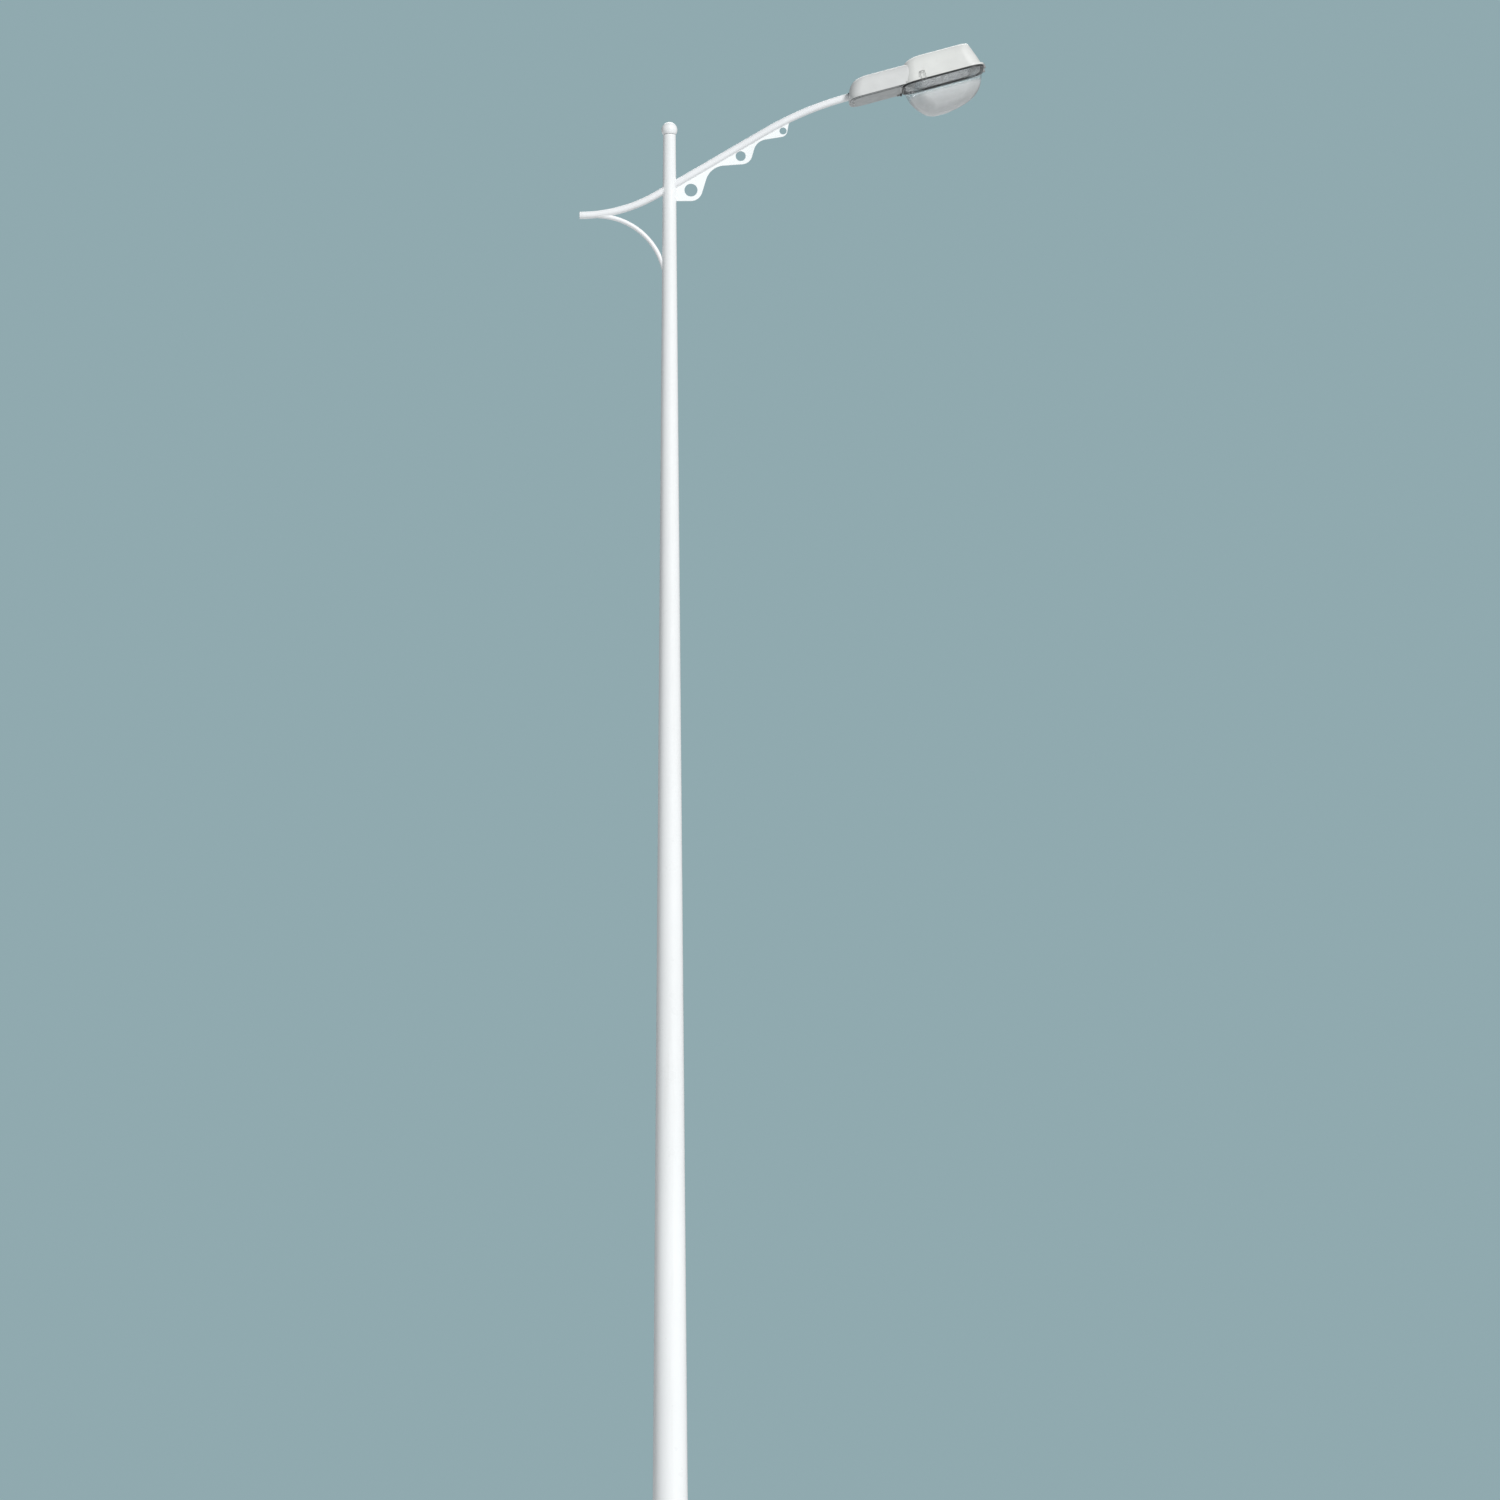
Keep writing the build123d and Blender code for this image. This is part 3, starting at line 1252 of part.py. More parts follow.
PIN_OVER = 2
PIN_HEAD_R = 4
PIN_HEAD_H = 2
with BuildPart() as luminaire_hinge_pins:
    for side in SIDES:
        for u, v, y, width in (
            (COVER_HINGE_U, COVER_HINGE_V, COVER_HINGE_Y, KNUCKLE_W),
            (BOWL_HINGE_U, BOWL_HINGE_V, BOWL_HINGE_Y, BOWL_KNUCKLE_W),
        ):
            length = width + 2 * (2 * FIT + EAR_THICK) + PIN_OVER
            add(rod_across(LUM_PIN_R, u, v, side * y, length))
            add(rod_across(PIN_HEAD_R, u, v, side * (y + length / 2), PIN_HEAD_H))
save(luminaire_hinge_pins, "luminaire_hinge_pins")

# wire clips: each turns in a lug on the bowl frame and loops over a catch on the canopy
CLIP_ROUTE = ((CLIP_Y, CLIP_V), (CLIP_Y + 1.5, -22), (163, 10))  # y and v of pivot, bend and top
CLIP_BEND_R = 4
for side, label in zip(SIDES, ("clip_near", "clip_far")):
    half = CLIP_W / 2
    (pivot_y, pivot_v), (bend_y, bend_v), (top_y, top_v) = CLIP_ROUTE
    route = [
        (CLIP_U - 0.5, side * pivot_y, pivot_v),
        (CLIP_U - half, side * pivot_y, pivot_v),
        (CLIP_U - half, side * bend_y, bend_v),
        (CLIP_U - half, side * top_y, top_v),
        (CLIP_U + half, side * top_y, top_v),
        (CLIP_U + half, side * bend_y, bend_v),
        (CLIP_U + half, side * pivot_y, pivot_v),
        (CLIP_U + 0.5, side * pivot_y, pivot_v),
    ]
    with BuildLine() as clip_line:
        FilletPolyline(*[head.from_local_coords(point) for point in route], radius=CLIP_BEND_R)
    wire_end = Plane(origin=clip_line.wire() @ 0, z_dir=clip_line.wire() % 0)
    with BuildPart() as clip:
        with BuildSketch(wire_end):
            Circle(CLIP_WIRE_R)
        sweep(path=clip_line.wire())
    save(clip, label)
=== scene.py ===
import json
import random
from math import atan2, cos, pi, radians, sin

import bmesh
import bpy
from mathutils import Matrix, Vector
from mathutils.bvhtree import BVHTree


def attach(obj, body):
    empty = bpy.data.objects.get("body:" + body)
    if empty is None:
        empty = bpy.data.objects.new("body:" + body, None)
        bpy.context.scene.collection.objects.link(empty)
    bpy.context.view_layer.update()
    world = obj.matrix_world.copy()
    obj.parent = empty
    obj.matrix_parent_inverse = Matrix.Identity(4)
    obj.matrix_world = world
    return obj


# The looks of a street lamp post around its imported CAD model. Metres, +Z up, +X to the luminaire.

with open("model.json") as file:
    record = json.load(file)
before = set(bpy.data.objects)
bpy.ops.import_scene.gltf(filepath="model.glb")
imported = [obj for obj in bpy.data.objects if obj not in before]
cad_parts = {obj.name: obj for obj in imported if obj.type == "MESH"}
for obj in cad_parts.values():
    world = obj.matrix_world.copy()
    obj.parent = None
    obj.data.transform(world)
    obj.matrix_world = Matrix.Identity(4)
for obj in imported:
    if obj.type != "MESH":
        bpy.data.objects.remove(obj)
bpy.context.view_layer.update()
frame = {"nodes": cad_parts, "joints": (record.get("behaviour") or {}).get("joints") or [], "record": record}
joints = {joint["name"]: joint for joint in frame["joints"]}

# ---------------------------------------------------------------- camera
PICTURE_SPAN = 8.775  # width and height of the view at the column
VIEW_DISTANCE = 42.5
EYE_HEIGHT = 0.9
VIEW_MIDDLE_X = 0.459
VIEW_LOW = 0.953  # height of the view's lower edge, at the column
SENSOR = 36.0
LEAN = radians(0.1)

view_top = atan2(VIEW_LOW + PICTURE_SPAN - EYE_HEIGHT, VIEW_DISTANCE)
view_bottom = atan2(VIEW_LOW - EYE_HEIGHT, VIEW_DISTANCE)
camera_data = bpy.data.cameras.new("camera")
camera_data.sensor_width = SENSOR
camera_data.angle = view_top - view_bottom
camera_data.clip_end = 400
camera = bpy.data.objects.new("camera", camera_data)
camera.location = (VIEW_MIDDLE_X, -VIEW_DISTANCE, EYE_HEIGHT)
camera.rotation_euler = (pi / 2 + (view_top + view_bottom) / 2, LEAN, 0)
bpy.context.scene.collection.objects.link(camera)
bpy.context.scene.camera = camera
bpy.context.scene.view_settings.view_transform = "Standard"

# ---------------------------------------------------------------- light
AMBIENT = (0.21, 0.23, 0.245)
BACKDROP = (0.28, 0.40, 0.43)


def studio_world():
    """An even pale surround, a little darker for light than for the eye."""
    world = bpy.data.worlds.new("studio")
    world.use_nodes = True
    nodes, links = world.node_tree.nodes, world.node_tree.links
    path = nodes.new("ShaderNodeLightPath")
    seen = nodes.new("ShaderNodeMath")
    seen.operation = "MAXIMUM"
    links.new(path.outputs["Is Camera Ray"], seen.inputs[0])
    links.new(path.outputs["Is Transmission Ray"], seen.inputs[1])
    tone = nodes.new("ShaderNodeMix")
    tone.data_type = "RGBA"
    tone.inputs["A"].default_value = (*AMBIENT, 1)
    tone.inputs["B"].default_value = (*BACKDROP, 1)
    links.new(seen.outputs[0], tone.inputs["Factor"])
    links.new(tone.outputs["Result"], nodes["Background"].inputs["Color"])
    bpy.context.scene.world = world


def sun(name, azimuth, elevation, strength, angle):
    """A soft distant light. Azimuth 0 shines from the camera's side, 90 from +X."""
    data = bpy.data.lights.new(name, "SUN")
    data.energy = strength
    data.angle = radians(angle)
    light = bpy.data.objects.new(name, data)
    light.rotation_euler = (radians(90 - elevation), 0, radians(azimuth))
    bpy.context.scene.collection.objects.link(light)


LIGHTS = (
    # name, azimuth, elevation, strength, apparent size in degrees
    ("key", 30, 34, 2.8, 14),
    ("fill_left", -60, 15, 0.10, 40),
    ("back", 180, 40, 0.7, 40),
)
studio_world()
for light_row in LIGHTS:
    sun(*light_row)


# ---------------------------------------------------------------- materials
class Look:
    """A procedural material and short ways to add nodes to it."""

    def __init__(self, name):
        self.material = bpy.data.materials.new(name)
        self.material.use_nodes = True
        self.nodes = self.material.node_tree.nodes
        self.links = self.material.node_tree.links
        self.shader = self.nodes["Principled BSDF"]
        self.place = self.nodes.new("ShaderNodeTexCoord").outputs["Object"]

    def put(self, socket, value):
        """Joins a socket to a value that varies, or sets it to one that doesn't."""
        if isinstance(value, bpy.types.NodeSocket):
            self.links.new(value, socket)
        elif hasattr(value, "__len__") and len(value) == 3 and socket.type == "RGBA":
            socket.default_value = (*value, 1)
        else:
            socket.default_value = value

    def set(self, **values):
        for name, value in values.items():
            self.put(self.shader.inputs[name.replace("_", " ")], value)

    def stretched(self, stretch):
        mapping = self.nodes.new("ShaderNodeMapping")
        self.links.new(self.place, mapping.inputs["Vector"])
        mapping.inputs["Scale"].default_value = stretch
        return mapping.outputs["Vector"]

    def noise(self, scale, detail=3, stretch=(1, 1, 1), roughness=0.5):
        node = self.nodes.new("ShaderNodeTexNoise")
        self.links.new(self.stretched(stretch), node.inputs["Vector"])
        node.inputs["Scale"].default_value = scale
        node.inputs["Detail"].default_value = detail
        node.inputs["Roughness"].default_value = roughness
        return node.outputs["Fac"]

    def cells(self, scale, output="Distance"):
        node = self.nodes.new("ShaderNodeTexVoronoi")
        self.links.new(self.place, node.inputs["Vector"])
        node.inputs["Scale"].default_value = scale
        return node.outputs[output]

    def height(self):
        split = self.nodes.new("ShaderNodeSeparateXYZ")
        self.links.new(self.place, split.inputs[0])
        return split.outputs["Z"]

    def edge(self):
        return self.nodes.new("ShaderNodeNewGeometry").outputs["Pointiness"]

    def span(self, value, low, high, to_low=0.0, to_high=1.0):
        """Maps low..high to to_low..to_high, held at both ends."""
        node = self.nodes.new("ShaderNodeMapRange")
        self.put(node.inputs["Value"], value)
        node.inputs["From Min"].default_value = low
        node.inputs["From Max"].default_value = high
        node.inputs["To Min"].default_value = to_low
        node.inputs["To Max"].default_value = to_high
        return node.outputs["Result"]

    def times(self, a, b, operation="MULTIPLY"):
        node = self.nodes.new("ShaderNodeMath")
        node.operation = operation
        node.use_clamp = True
        self.put(node.inputs[0], a)
        self.put(node.inputs[1], b)
        return node.outputs[0]

    def blend(self, factor, a, b):
        node = self.nodes.new("ShaderNodeMix")
        node.data_type = "RGBA"
        self.put(node.inputs["Factor"], factor)
        self.put(node.inputs["A"], a)
        self.put(node.inputs["B"], b)
        return node.outputs["Result"]

    def bump(self, value, depth, strength=1.0):
        """Adds relief of this depth in metres to what the shader has already."""
        node = self.nodes.new("ShaderNodeBump")
        node.inputs["Strength"].default_value = strength
        node.inputs["Distance"].default_value = depth
        self.links.new(value, node.inputs["Height"])
        normal = self.shader.inputs["Normal"]
        if normal.is_linked:
            self.links.new(normal.links[0].from_socket, node.inputs["Normal"])
        self.links.new(node.outputs["Normal"], normal)


# Dirt colour, near the ground on the paint; on the luminaire's shells it is also painted shade in creases
GRIME_AND_CREASE_SHADE = (0.33, 0.31, 0.27)
DUST = (0.56, 0.55, 0.51)
SPLASH_HEIGHT = 0.42  # dirt thrown up from the ground reaches this high
SHEET_SCALE = 320  # laminations of the ballast's core
TURN_SCALE = 260  # turns of its winding
SPANGLE_SCALE = 95
FACET_SCALE = 120  # hammered facets of the reflector
GLASS_IOR = 1.5
BOWL_IOR = 1.49
BOWL_COVER = 0.18  # share of light that the clear bowl bends; the rest passes straight through
BOWL_FILM = (0.66, 0.67, 0.67)
BOWL_FILM_ROUGHNESS = 0.22
HAZE_AT_RIM = 0.02
HAZE_DEEP = 0.66


def painted(name, colour, gloss=0.3, shade=0.93, peel=0.00012, splash=True):
    """Gloss paint: slight cloudiness, faint rain streaks, orange peel, dirt near the ground."""
    look = Look(name)
    cloud = look.span(look.noise(2.4, 4, (1, 1, 0.25)), 0.3, 0.75)
    shaded = [channel * shade for channel in colour]
    tone = look.blend(cloud, colour, shaded)
    streak = look.span(look.noise(34, 3, (1, 1, 0.035)), 0.56, 0.8, 0, 0.16)
    tone = look.blend(streak, tone, DUST)
    speck = look.span(look.noise(310, 2), 0.70, 0.78, 0, 0.22)
    tone = look.blend(speck, tone, DUST)
    if splash:
        low = look.span(look.height(), 0.0, SPLASH_HEIGHT, 0.75, 0)
        low = look.times(low, low)
        patches = look.span(look.noise(55, 8, roughness=0.7), 0.36, 0.74)
        tone = look.blend(look.times(low, patches), tone, GRIME_AND_CREASE_SHADE)
        runs = look.span(look.noise(60, 4, (1, 1, 0.05)), 0.55, 0.8, 0, 0.4)
        tone = look.blend(look.times(low, runs), tone, GRIME_AND_CREASE_SHADE)
    look.set(Base_Color=tone, Coat_Weight=0.25, Coat_Roughness=0.12)
    look.set(Roughness=look.span(look.noise(9, 3), 0.25, 0.75, gloss - 0.05, gloss + 0.09))
    look.bump(look.noise(420, 2), peel, 0.5)
    look.bump(look.noise(30, 2, (1, 1, 0.2)), peel * 2, 0.3)
    return look.material


def moulded_shell(name, colour, gloss=0.34, dust=0.35):
    """Glass-fibre and paint shells of the luminaire: soft mottling, dust, painted shade in concave creases
    and fine scratches.
    """
    look = Look(name)
    mottle = look.span(look.noise(11, 5), 0.3, 0.75)
    tone = look.blend(mottle, colour, [channel * 0.93 for channel in colour])
    grime = look.span(look.noise(46, 6, (1, 1, 0.6)), 0.58, 0.82, 0, dust)
    tone = look.blend(grime, tone, DUST)
    # Painted shade: concave creases, found by curvature alone, are darkened halfway towards the dirt colour
    crease_shade = look.span(look.edge(), 0.44, 0.485, 0.5, 0)
    tone = look.blend(crease_shade, tone, GRIME_AND_CREASE_SHADE)
    look.set(Base_Color=tone, Coat_Weight=0.2, Coat_Roughness=0.2)
    look.set(Roughness=look.span(look.noise(24, 4), 0.25, 0.75, gloss - 0.06, gloss + 0.12))
    look.bump(look.noise(240, 3), 0.00016, 0.5)
    look.bump(look.noise(16, 2), 0.0009, 0.35)
    return look.material


def galvanised(name, colour=(0.56, 0.57, 0.58)):
    """Zinc with its spangle."""
    look = Look(name)
    spangle = look.cells(SPANGLE_SCALE, output="Color")
    tone = look.blend(look.span(spangle, 0, 1, 0, 0.45), colour, (0.72, 0.73, 0.74))
    stain = look.span(look.noise(20, 5), 0.6, 0.85, 0, 0.4)
    tone = look.blend(stain, tone, (0.42, 0.41, 0.39))
    look.set(Base_Color=tone, Metallic=0.85)
    look.set(Roughness=look.span(spangle, 0, 1, 0.34, 0.55))
    look.bump(look.noise(260, 3), 0.00012, 0.5)
    return look.material


def bright_steel(name, colour=(0.62, 0.62, 0.61), rough=0.28):
    """Turned or drawn stainless steel: fine lines and a little dirt."""
    look = Look(name)
    lines = look.noise(900, 2, (0.08, 1, 1))
    tone = look.blend(look.span(lines, 0.3, 0.7, 0, 0.5), colour, [c * 0.8 for c in colour])
    dirt = look.span(look.noise(120, 5), 0.6, 0.8, 0, 0.5)
    tone = look.blend(dirt, tone, (0.2, 0.18, 0.15))
    look.set(Base_Color=tone, Metallic=1.0)
    look.set(Roughness=look.span(lines, 0.3, 0.7, rough - 0.06, rough + 0.12))
    look.bump(lines, 0.00005, 0.5)
    return look.material


def cast_metal(name, colour=(0.60, 0.61, 0.62)):
    look = Look(name)
    grain = look.noise(380, 4)
    tone = look.blend(look.span(look.noise(30, 4), 0.35, 0.75, 0, 0.6), colour, [c * 0.8 for c in colour])
    look.set(Base_Color=tone, Metallic=0.8)
    look.set(Roughness=look.span(grain, 0.3, 0.7, 0.42, 0.62))
    look.bump(grain, 0.0003, 0.6)
    return look.material


def hammered_mirror(name, colour=(0.95, 0.96, 0.97)):
    """Bright reflector sheet with a pattern of shallow hammered facets."""
    look = Look(name)
    dimples = look.cells(FACET_SCALE)
    dulled = look.span(look.noise(26, 5), 0.45, 0.8, 0, 0.45)
    tone = look.blend(dulled, colour, (0.74, 0.75, 0.75))
    look.set(Base_Color=tone, Metallic=0.92)
    look.set(Roughness=look.span(look.noise(60, 3), 0.3, 0.7, 0.10, 0.24))
    look.bump(dimples, 0.0016, 0.9)
    return look.material


def rubber(name, colour=(0.022, 0.022, 0.023), rough=0.6):
    look = Look(name)
    chalk = look.span(look.noise(70, 5), 0.5, 0.85, 0, 0.35)
    tone = look.blend(chalk, colour, (0.12, 0.12, 0.115))
    look.set(Base_Color=tone)
    look.set(Roughness=look.span(look.noise(200, 3), 0.3, 0.7, rough - 0.08, rough + 0.12))
    look.bump(look.noise(500, 3), 0.0001, 0.6)
    return look.material


def plastic(name, colour, rough=0.42, grain=0.00012):
    look = Look(name)
    fade = look.span(look.noise(14, 4), 0.35, 0.75)
    tone = look.blend(fade, colour, [c * 0.86 for c in colour])
    dust = look.span(look.noise(90, 5), 0.62, 0.85, 0, 0.25)
    tone = look.blend(dust, tone, DUST)
    look.set(Base_Color=tone)
    look.set(Roughness=look.span(look.noise(40, 3), 0.3, 0.7, rough - 0.05, rough + 0.1))
    look.bump(look.noise(650, 2), grain, 0.5)
    return look.material


def glazed(name, colour=(0.84, 0.83, 0.79)):
    look = Look(name)
    pits = look.span(look.noise(180, 4), 0.66, 0.74, 0, 0.5)
    tone = look.blend(pits, colour, (0.35, 0.33, 0.30))
    shade = look.span(look.noise(22, 3), 0.3, 0.7, 0, 0.25)
    tone = look.blend(shade, tone, (0.72, 0.70, 0.64))
    look.set(Base_Color=tone, Coat_Weight=0.6, Coat_Roughness=0.06)
    look.set(Roughness=look.span(look.noise(50, 3), 0.3, 0.7, 0.16, 0.3))
    look.bump(look.noise(60, 2), 0.0003, 0.4)
    return look.material


def lacquered_core(name):
    """Stacked laminations under dark lacquer."""
    look = Look(name)
    sheets = look.nodes.new("ShaderNodeTexWave")
    sheets.bands_direction = "Y"
    look.links.new(look.place, sheets.inputs["Vector"])
    sheets.inputs["Scale"].default_value = SHEET_SCALE
    sheets.inputs["Distortion"].default_value = 0.4
    tone = look.blend(sheets.outputs["Fac"], (0.035, 0.035, 0.04), (0.075, 0.075, 0.08))
    look.set(Base_Color=tone, Metallic=0.3)
    look.set(Roughness=look.span(look.noise(80, 3), 0.3, 0.7, 0.3, 0.5))
    look.bump(sheets.outputs["Fac"], 0.0002, 0.7)
    return look.material


def wound_wire(name):
    """Varnished copper winding."""
    look = Look(name)
    turns = look.nodes.new("ShaderNodeTexWave")
    turns.bands_direction = "Z"
    look.links.new(look.place, turns.inputs["Vector"])
    turns.inputs["Scale"].default_value = TURN_SCALE
    turns.inputs["Distortion"].default_value = 1.2
    tone = look.blend(turns.outputs["Fac"], (0.28, 0.09, 0.035), (0.58, 0.24, 0.10))
    look.set(Base_Color=tone, Metallic=0.75, Coat_Weight=0.5, Coat_Roughness=0.15)
    look.set(Roughness=look.span(look.noise(90, 3), 0.3, 0.7, 0.25, 0.45))
    look.bump(turns.outputs["Fac"], 0.0004, 0.8)
    return look.material


def clear_glass(name, colour=(0.97, 0.98, 0.97)):
    look = Look(name)
    film = look.span(look.noise(30, 4), 0.4, 0.8, 0.02, 0.1)
    look.set(Base_Color=look.blend(film, colour, (0.8, 0.8, 0.78)), Transmission_Weight=1.0)
    look.set(IOR=GLASS_IOR, Roughness=film)
    look.bump(look.noise(40, 2), 0.0002, 0.2)
    return look.material


CLEAR_DEPTH = 0.066  # the bowl is clear down to here below its rim
HAZY_DEPTH = 0.092  # and hazy from here down


def hazy_bowl(name, rim_point, down):
    """Clear moulded bowl, hazier and dustier towards its bottom."""
    look = Look(name)
    depth = look.nodes.new("ShaderNodeVectorMath")
    depth.operation = "DOT_PRODUCT"
    look.links.new(look.place, depth.inputs[0])
    depth.inputs[1].default_value = down
    rim = rim_point.dot(down)
    deep = look.span(depth.outputs["Value"], rim + CLEAR_DEPTH, rim + HAZY_DEPTH)
    dust = look.span(look.noise(18, 6), 0.25, 0.8, 0.0, 0.12)
    haze = look.times(look.span(deep, 0, 1, HAZE_AT_RIM, HAZE_DEEP), look.times(dust, deep), "ADD")
    streak = look.span(look.noise(50, 4, (1, 1, 0.12)), 0.6, 0.85, 0, 0.12)
    haze = look.times(haze, streak, "ADD")
    look.set(Base_Color=(0.98, 0.99, 0.985), Transmission_Weight=1.0, IOR=BOWL_IOR, Alpha=BOWL_COVER)
    look.set(Roughness=look.span(dust, 0, 0.16, 0.02, 0.07))
    look.bump(look.noise(9, 2), 0.0015, 0.25)
    film = look.nodes.new("ShaderNodeBsdfPrincipled")
    film.inputs["Base Color"].default_value = (*BOWL_FILM, 1)
    film.inputs["Roughness"].default_value = BOWL_FILM_ROUGHNESS
    veil = look.nodes.new("ShaderNodeMixShader")
    look.links.new(haze, veil.inputs["Fac"])
    look.links.new(look.shader.outputs[0], veil.inputs[1])
    look.links.new(film.outputs[0], veil.inputs[2])
    look.links.new(veil.outputs[0], look.nodes["Material Output"].inputs["Surface"])
    return look.material


u_dir = Vector(joints["clip_near_pivot"]["axis"]).normalized()
v_dir = Vector((-u_dir.z, 0, u_dir.x))
COVER_HINGE_AT = (0.312, -0.046)  # the cover hinge in the luminaire's own u and v
head = Vector(joints["cover_hinge"]["pos_m"]) - u_dir * COVER_HINGE_AT[0] - v_dir * COVER_HINGE_AT[1]
RIM_V = -0.038


def in_head(u, y, v):
    """A point of the luminaire's own frame: u along it, y across, v up."""
    return head + u_dir * u + Vector((0, y, 0)) + v_dir * v


materials = {
    "column_paint": painted("column_paint", (0.84, 0.85, 0.85)),
    "arm_paint": painted("arm_paint", (0.83, 0.84, 0.85), splash=False),
    # Painted light: the gusset has the column's white paint, made lighter here to stand for its flat, evenly
    # lit face
    "gusset_paint": painted("gusset_paint", (0.90, 0.93, 0.93), splash=False),
    "canopy_shell": moulded_shell("canopy_shell", (0.70, 0.705, 0.68)),
    "housing_shell": moulded_shell("housing_shell", (0.63, 0.635, 0.625), dust=0.25),
    # Painted shade: the cover under the luminaire has its light-grey paint darkened to the grey of the shade
    # there
    "cover_shell": moulded_shell("cover_shell", (0.27, 0.28, 0.28), dust=0.2),
    "zinc_steel": galvanised("zinc_steel"),
    "stainless": bright_steel("stainless"),
    "cast_alloy": cast_metal("cast_alloy"),
    "mirror_aluminium": hammered_mirror("mirror_aluminium"),
    "frame_black": plastic("frame_black", (0.028, 0.029, 0.03), 0.4),
    "black_steel": cast_metal("black_steel", (0.055, 0.055, 0.058)),
    "satin_plate": bright_steel("satin_plate", (0.42, 0.43, 0.43), 0.45),
    "black_rubber": rubber("black_rubber"),
    "clear_bowl": hazy_bowl("clear_bowl", in_head(0, 0, RIM_V), -v_dir),
    "lamp_glass": clear_glass("lamp_glass"),
    "arc_ceramic": plastic("arc_ceramic", (0.85, 0.83, 0.76), 0.35),
    "porcelain": glazed("porcelain"),
    "cap_brass": bright_steel("cap_brass", (0.72, 0.68, 0.58), 0.24),
    "stud_brass": bright_steel("stud_brass", (0.70, 0.50, 0.22), 0.3),
    "copper_winding": wound_wire("copper_winding"),
    "core_steel": lacquered_core("core_steel"),
    "grey_plastic": plastic("grey_plastic", (0.55, 0.56, 0.55)),
    "black_plastic": plastic("black_plastic", (0.035, 0.035, 0.036), 0.38),
    "ignitor_plastic": plastic("ignitor_plastic", (0.72, 0.70, 0.62), 0.36),
    "cable_sheath": rubber("cable_sheath", (0.03, 0.03, 0.032), 0.5),
    "lead_sleeve": rubber("lead_sleeve", (0.72, 0.70, 0.64), 0.55),
}

for part in frame["record"]["subparts"]:
    node = frame["nodes"][part["node"]]
    node.data.materials.clear()
    node.data.materials.append(materials[part["material_slot"]])


# ---------------------------------------------------------------- weld beads
CREASE = 0.35  # least angle between two faces, in radians, that counts as an edge of a piece
TOUCH = 0.0007  # two pieces nearer than this are welded together
WELD_STEP = 0.0016
WELD_RIPPLE = 0.0042  # length of one ripple of the bead
WELD_SIDES = 8
WELD_SHORTEST = 0.012
chance = random.Random(7)


def joined_mesh(name):
    """A CAD node's mesh as a bmesh with its vertices welded."""
    mesh = bmesh.new()
    mesh.from_mesh(frame["nodes"][name].data)
    bmesh.ops.remove_doubles(mesh, verts=mesh.verts, dist=1e-6)
    return mesh


def chained(pairs):
    """Joins edges, given as pairs of points, into lines of points."""
    spots = {}
    for a, b in pairs:
        key_a, key_b = (tuple(round(c, 6) for c in point) for point in (a, b))
        spots.setdefault(key_a, []).append(key_b)
        spots.setdefault(key_b, []).append(key_a)
    lines = []
    while any(spots.values()):
        ends = [key for key, near in spots.items() if len(near) == 1]
        key = ends[0] if ends else next(key for key, near in spots.items() if near)
        line = [key]
        while spots[key]:
            following = spots[key].pop()
            spots[following].remove(key)
            key = following
            line.append(key)
        lines.append([Vector(point) for point in line])
    return lines


def even_steps(line, step):
    """The same line with its points a step apart."""
    total = sum((b - a).length for a, b in zip(line, line[1:]))
    count = max(2, round(total / step))
    spaced, index, done = [], 0, 0.0
    for k in range(count + 1):
        target = total * k / count
        while index < len(line) - 2 and done + (line[index + 1] - line[index]).length < target:
            done += (line[index + 1] - line[index]).length
            index += 1
        run = line[index + 1] - line[index]
        spaced.append(line[index] + run * min(1.0, (target - done) / max(run.length, 1e-9)))
    return spaced


def add_bead(mesh, line, radius):
    """A rippled round bead along a line of points."""
    points = even_steps(line, WELD_STEP)
    across = (points[1] - points[0]).orthogonal()
    rings = []
    for k, point in enumerate(points):
        along = (points[min(k + 1, len(points) - 1)] - points[max(k - 1, 0)]).normalized()
        across = (across - along * across.dot(along)).normalized()
        side = along.cross(across)
        size = radius * (1 + 0.10 * sin(2 * pi * k * WELD_STEP / WELD_RIPPLE) + chance.uniform(-0.05, 0.05))
        ring = []
        for n in range(WELD_SIDES):
            turn = 2 * pi * n / WELD_SIDES
            ring.append(mesh.verts.new(point + (across * cos(turn) + side * sin(turn)) * size))
        rings.append(ring)
    for first, second in zip(rings, rings[1:]):
        for n in range(WELD_SIDES):
            after = (n + 1) % WELD_SIDES
            mesh.faces.new((first[n], first[after], second[after], second[n]))
    mesh.faces.new(rings[0][::-1])
    mesh.faces.new(rings[-1])


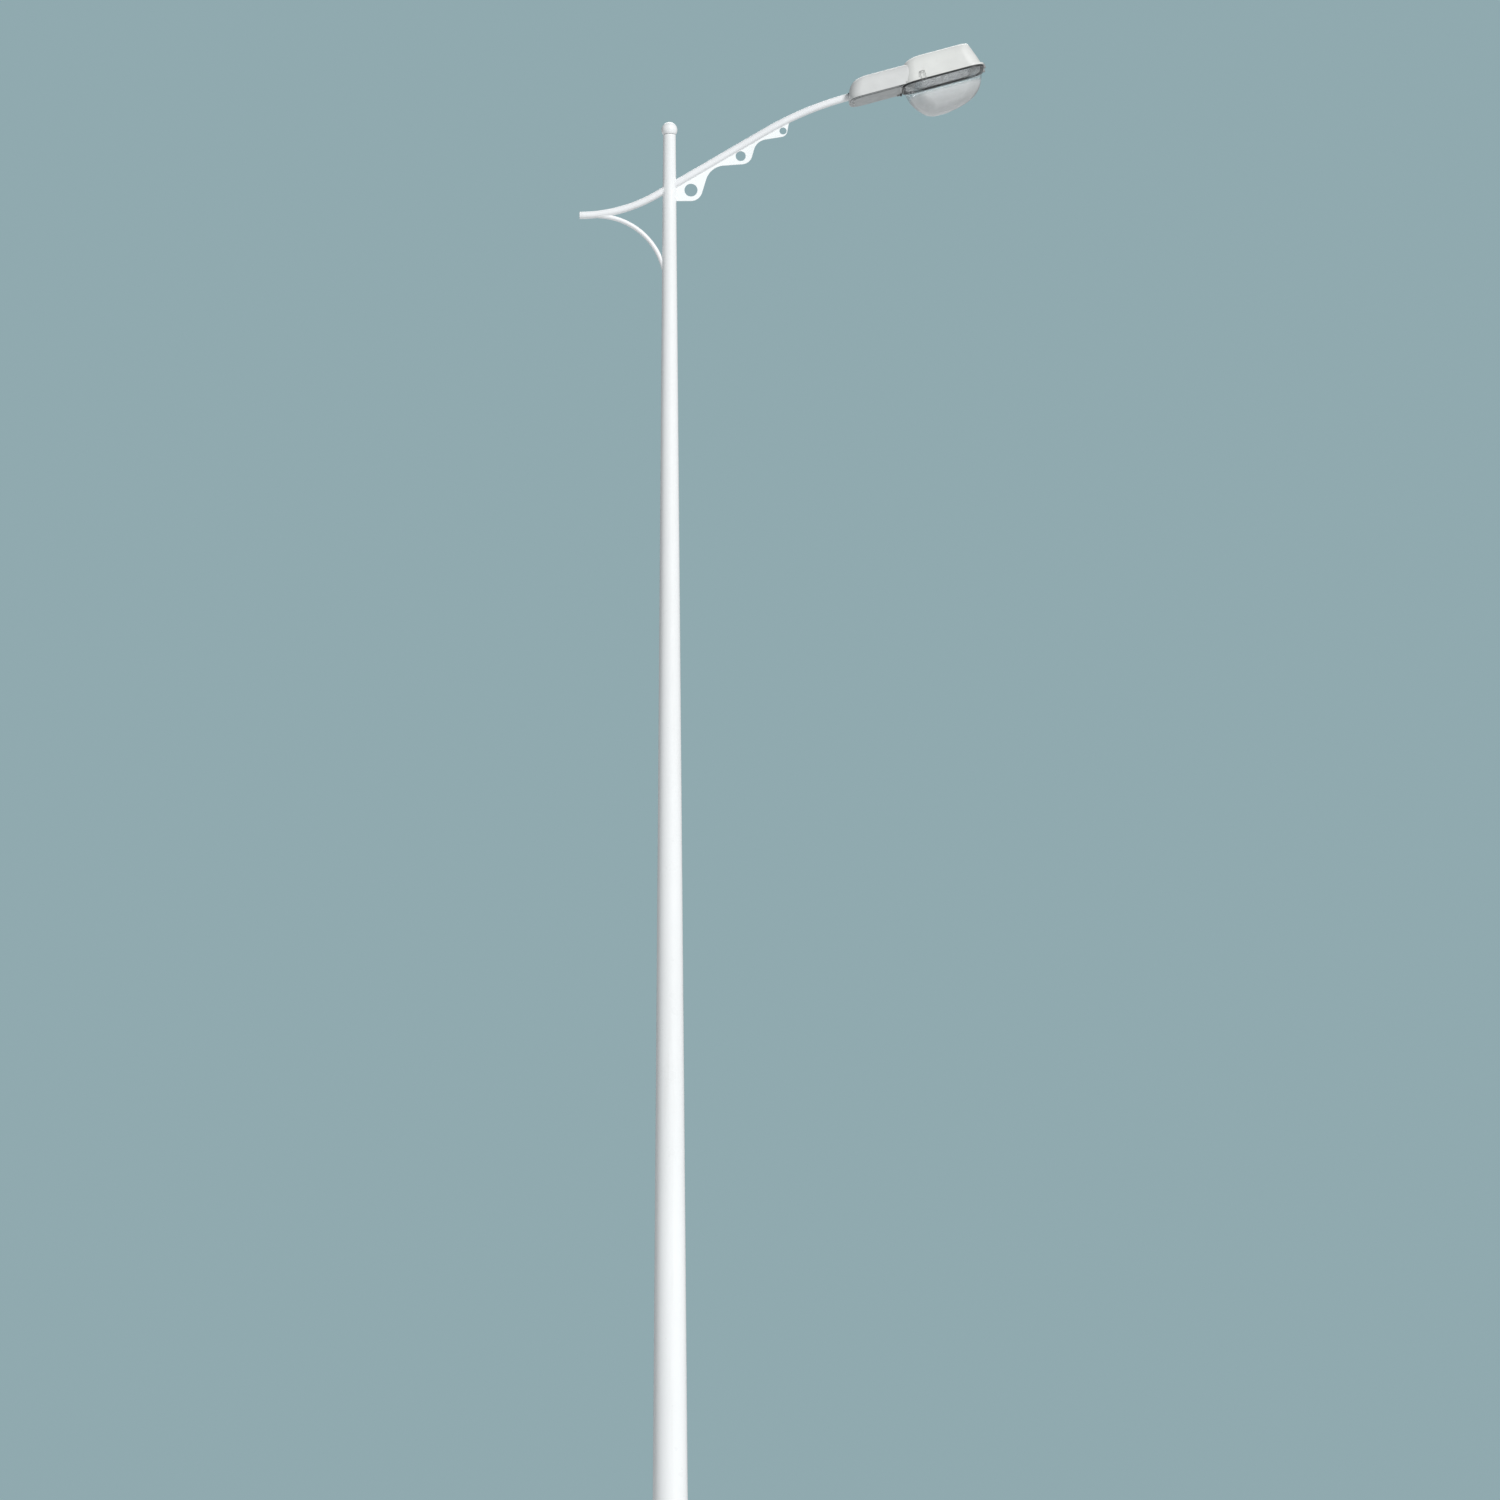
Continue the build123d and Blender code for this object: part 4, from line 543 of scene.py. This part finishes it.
def weld(piece, other, radius, slot, body="post"):
    """Welds a CAD node to another along each of its edges that touches the other."""
    source, target = joined_mesh(piece), joined_mesh(other)
    tree = BVHTree.FromBMesh(target)
    pairs = []
    for edge in source.edges:
        if len(edge.link_faces) != 2 or edge.calc_face_angle(0) < CREASE:
            continue
        a, b = (vert.co.copy() for vert in edge.verts)
        gaps = [tree.find_nearest(point)[3] for point in (a, (a + b) / 2, b)]
        if max(gaps) < TOUCH:
            pairs.append((a, b))
    source.free()
    target.free()
    beads = bmesh.new()
    for line in chained(pairs):
        if sum((b - a).length for a, b in zip(line, line[1:])) > WELD_SHORTEST:
            add_bead(beads, line, radius)
    data = bpy.data.meshes.new(f"weld_{piece}_{other}")
    beads.to_mesh(data)
    beads.free()
    data.shade_smooth()
    data.materials.append(materials[slot])
    bead = bpy.data.objects.new(data.name, data)
    bpy.context.scene.collection.objects.link(bead)
    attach(bead, body)


WELDS = (
    # piece, the piece it is welded to, radius of the bead, material slot
    ("pole_base_section", "base_plate", 0.005, "column_paint"),
    ("base_ribs", "base_plate", 0.0035, "column_paint"),
    ("base_ribs", "pole_base_section", 0.0035, "column_paint"),
    ("pole_shaft", "pole_base_section", 0.0035, "column_paint"),
    ("pole_shaft", "arm_tube", 0.003, "arm_paint"),
    ("arm_brace", "pole_shaft", 0.0026, "arm_paint"),
    ("arm_brace", "arm_tube", 0.0026, "arm_paint"),
    ("arm_gusset", "arm_tube", 0.0026, "arm_paint"),
    ("arm_gusset", "pole_shaft", 0.0026, "arm_paint"),
)
for weld_row in WELDS:
    weld(*weld_row)


# ---------------------------------------------------------------- floor
def floor_material():
    look = Look("floor")
    wear = look.span(look.noise(0.6, 5), 0.3, 0.7)
    look.set(Base_Color=look.blend(wear, (0.80, 0.81, 0.81), (0.76, 0.77, 0.77)))
    look.set(Roughness=look.span(look.noise(3, 4), 0.3, 0.7, 0.55, 0.7))
    return look.material


FLOOR_REACH = 150.0


def add_floor():
    mesh = bpy.data.meshes.new("floor")
    corners = [(x * FLOOR_REACH, y * FLOOR_REACH, 0) for x, y in ((-1, -1), (1, -1), (1, 1), (-1, 1))]
    mesh.from_pydata(corners, [], [(0, 1, 2, 3)])
    floor = bpy.data.objects.new("floor", mesh)
    bpy.context.scene.collection.objects.link(floor)
    mesh.materials.append(floor_material())


add_floor()
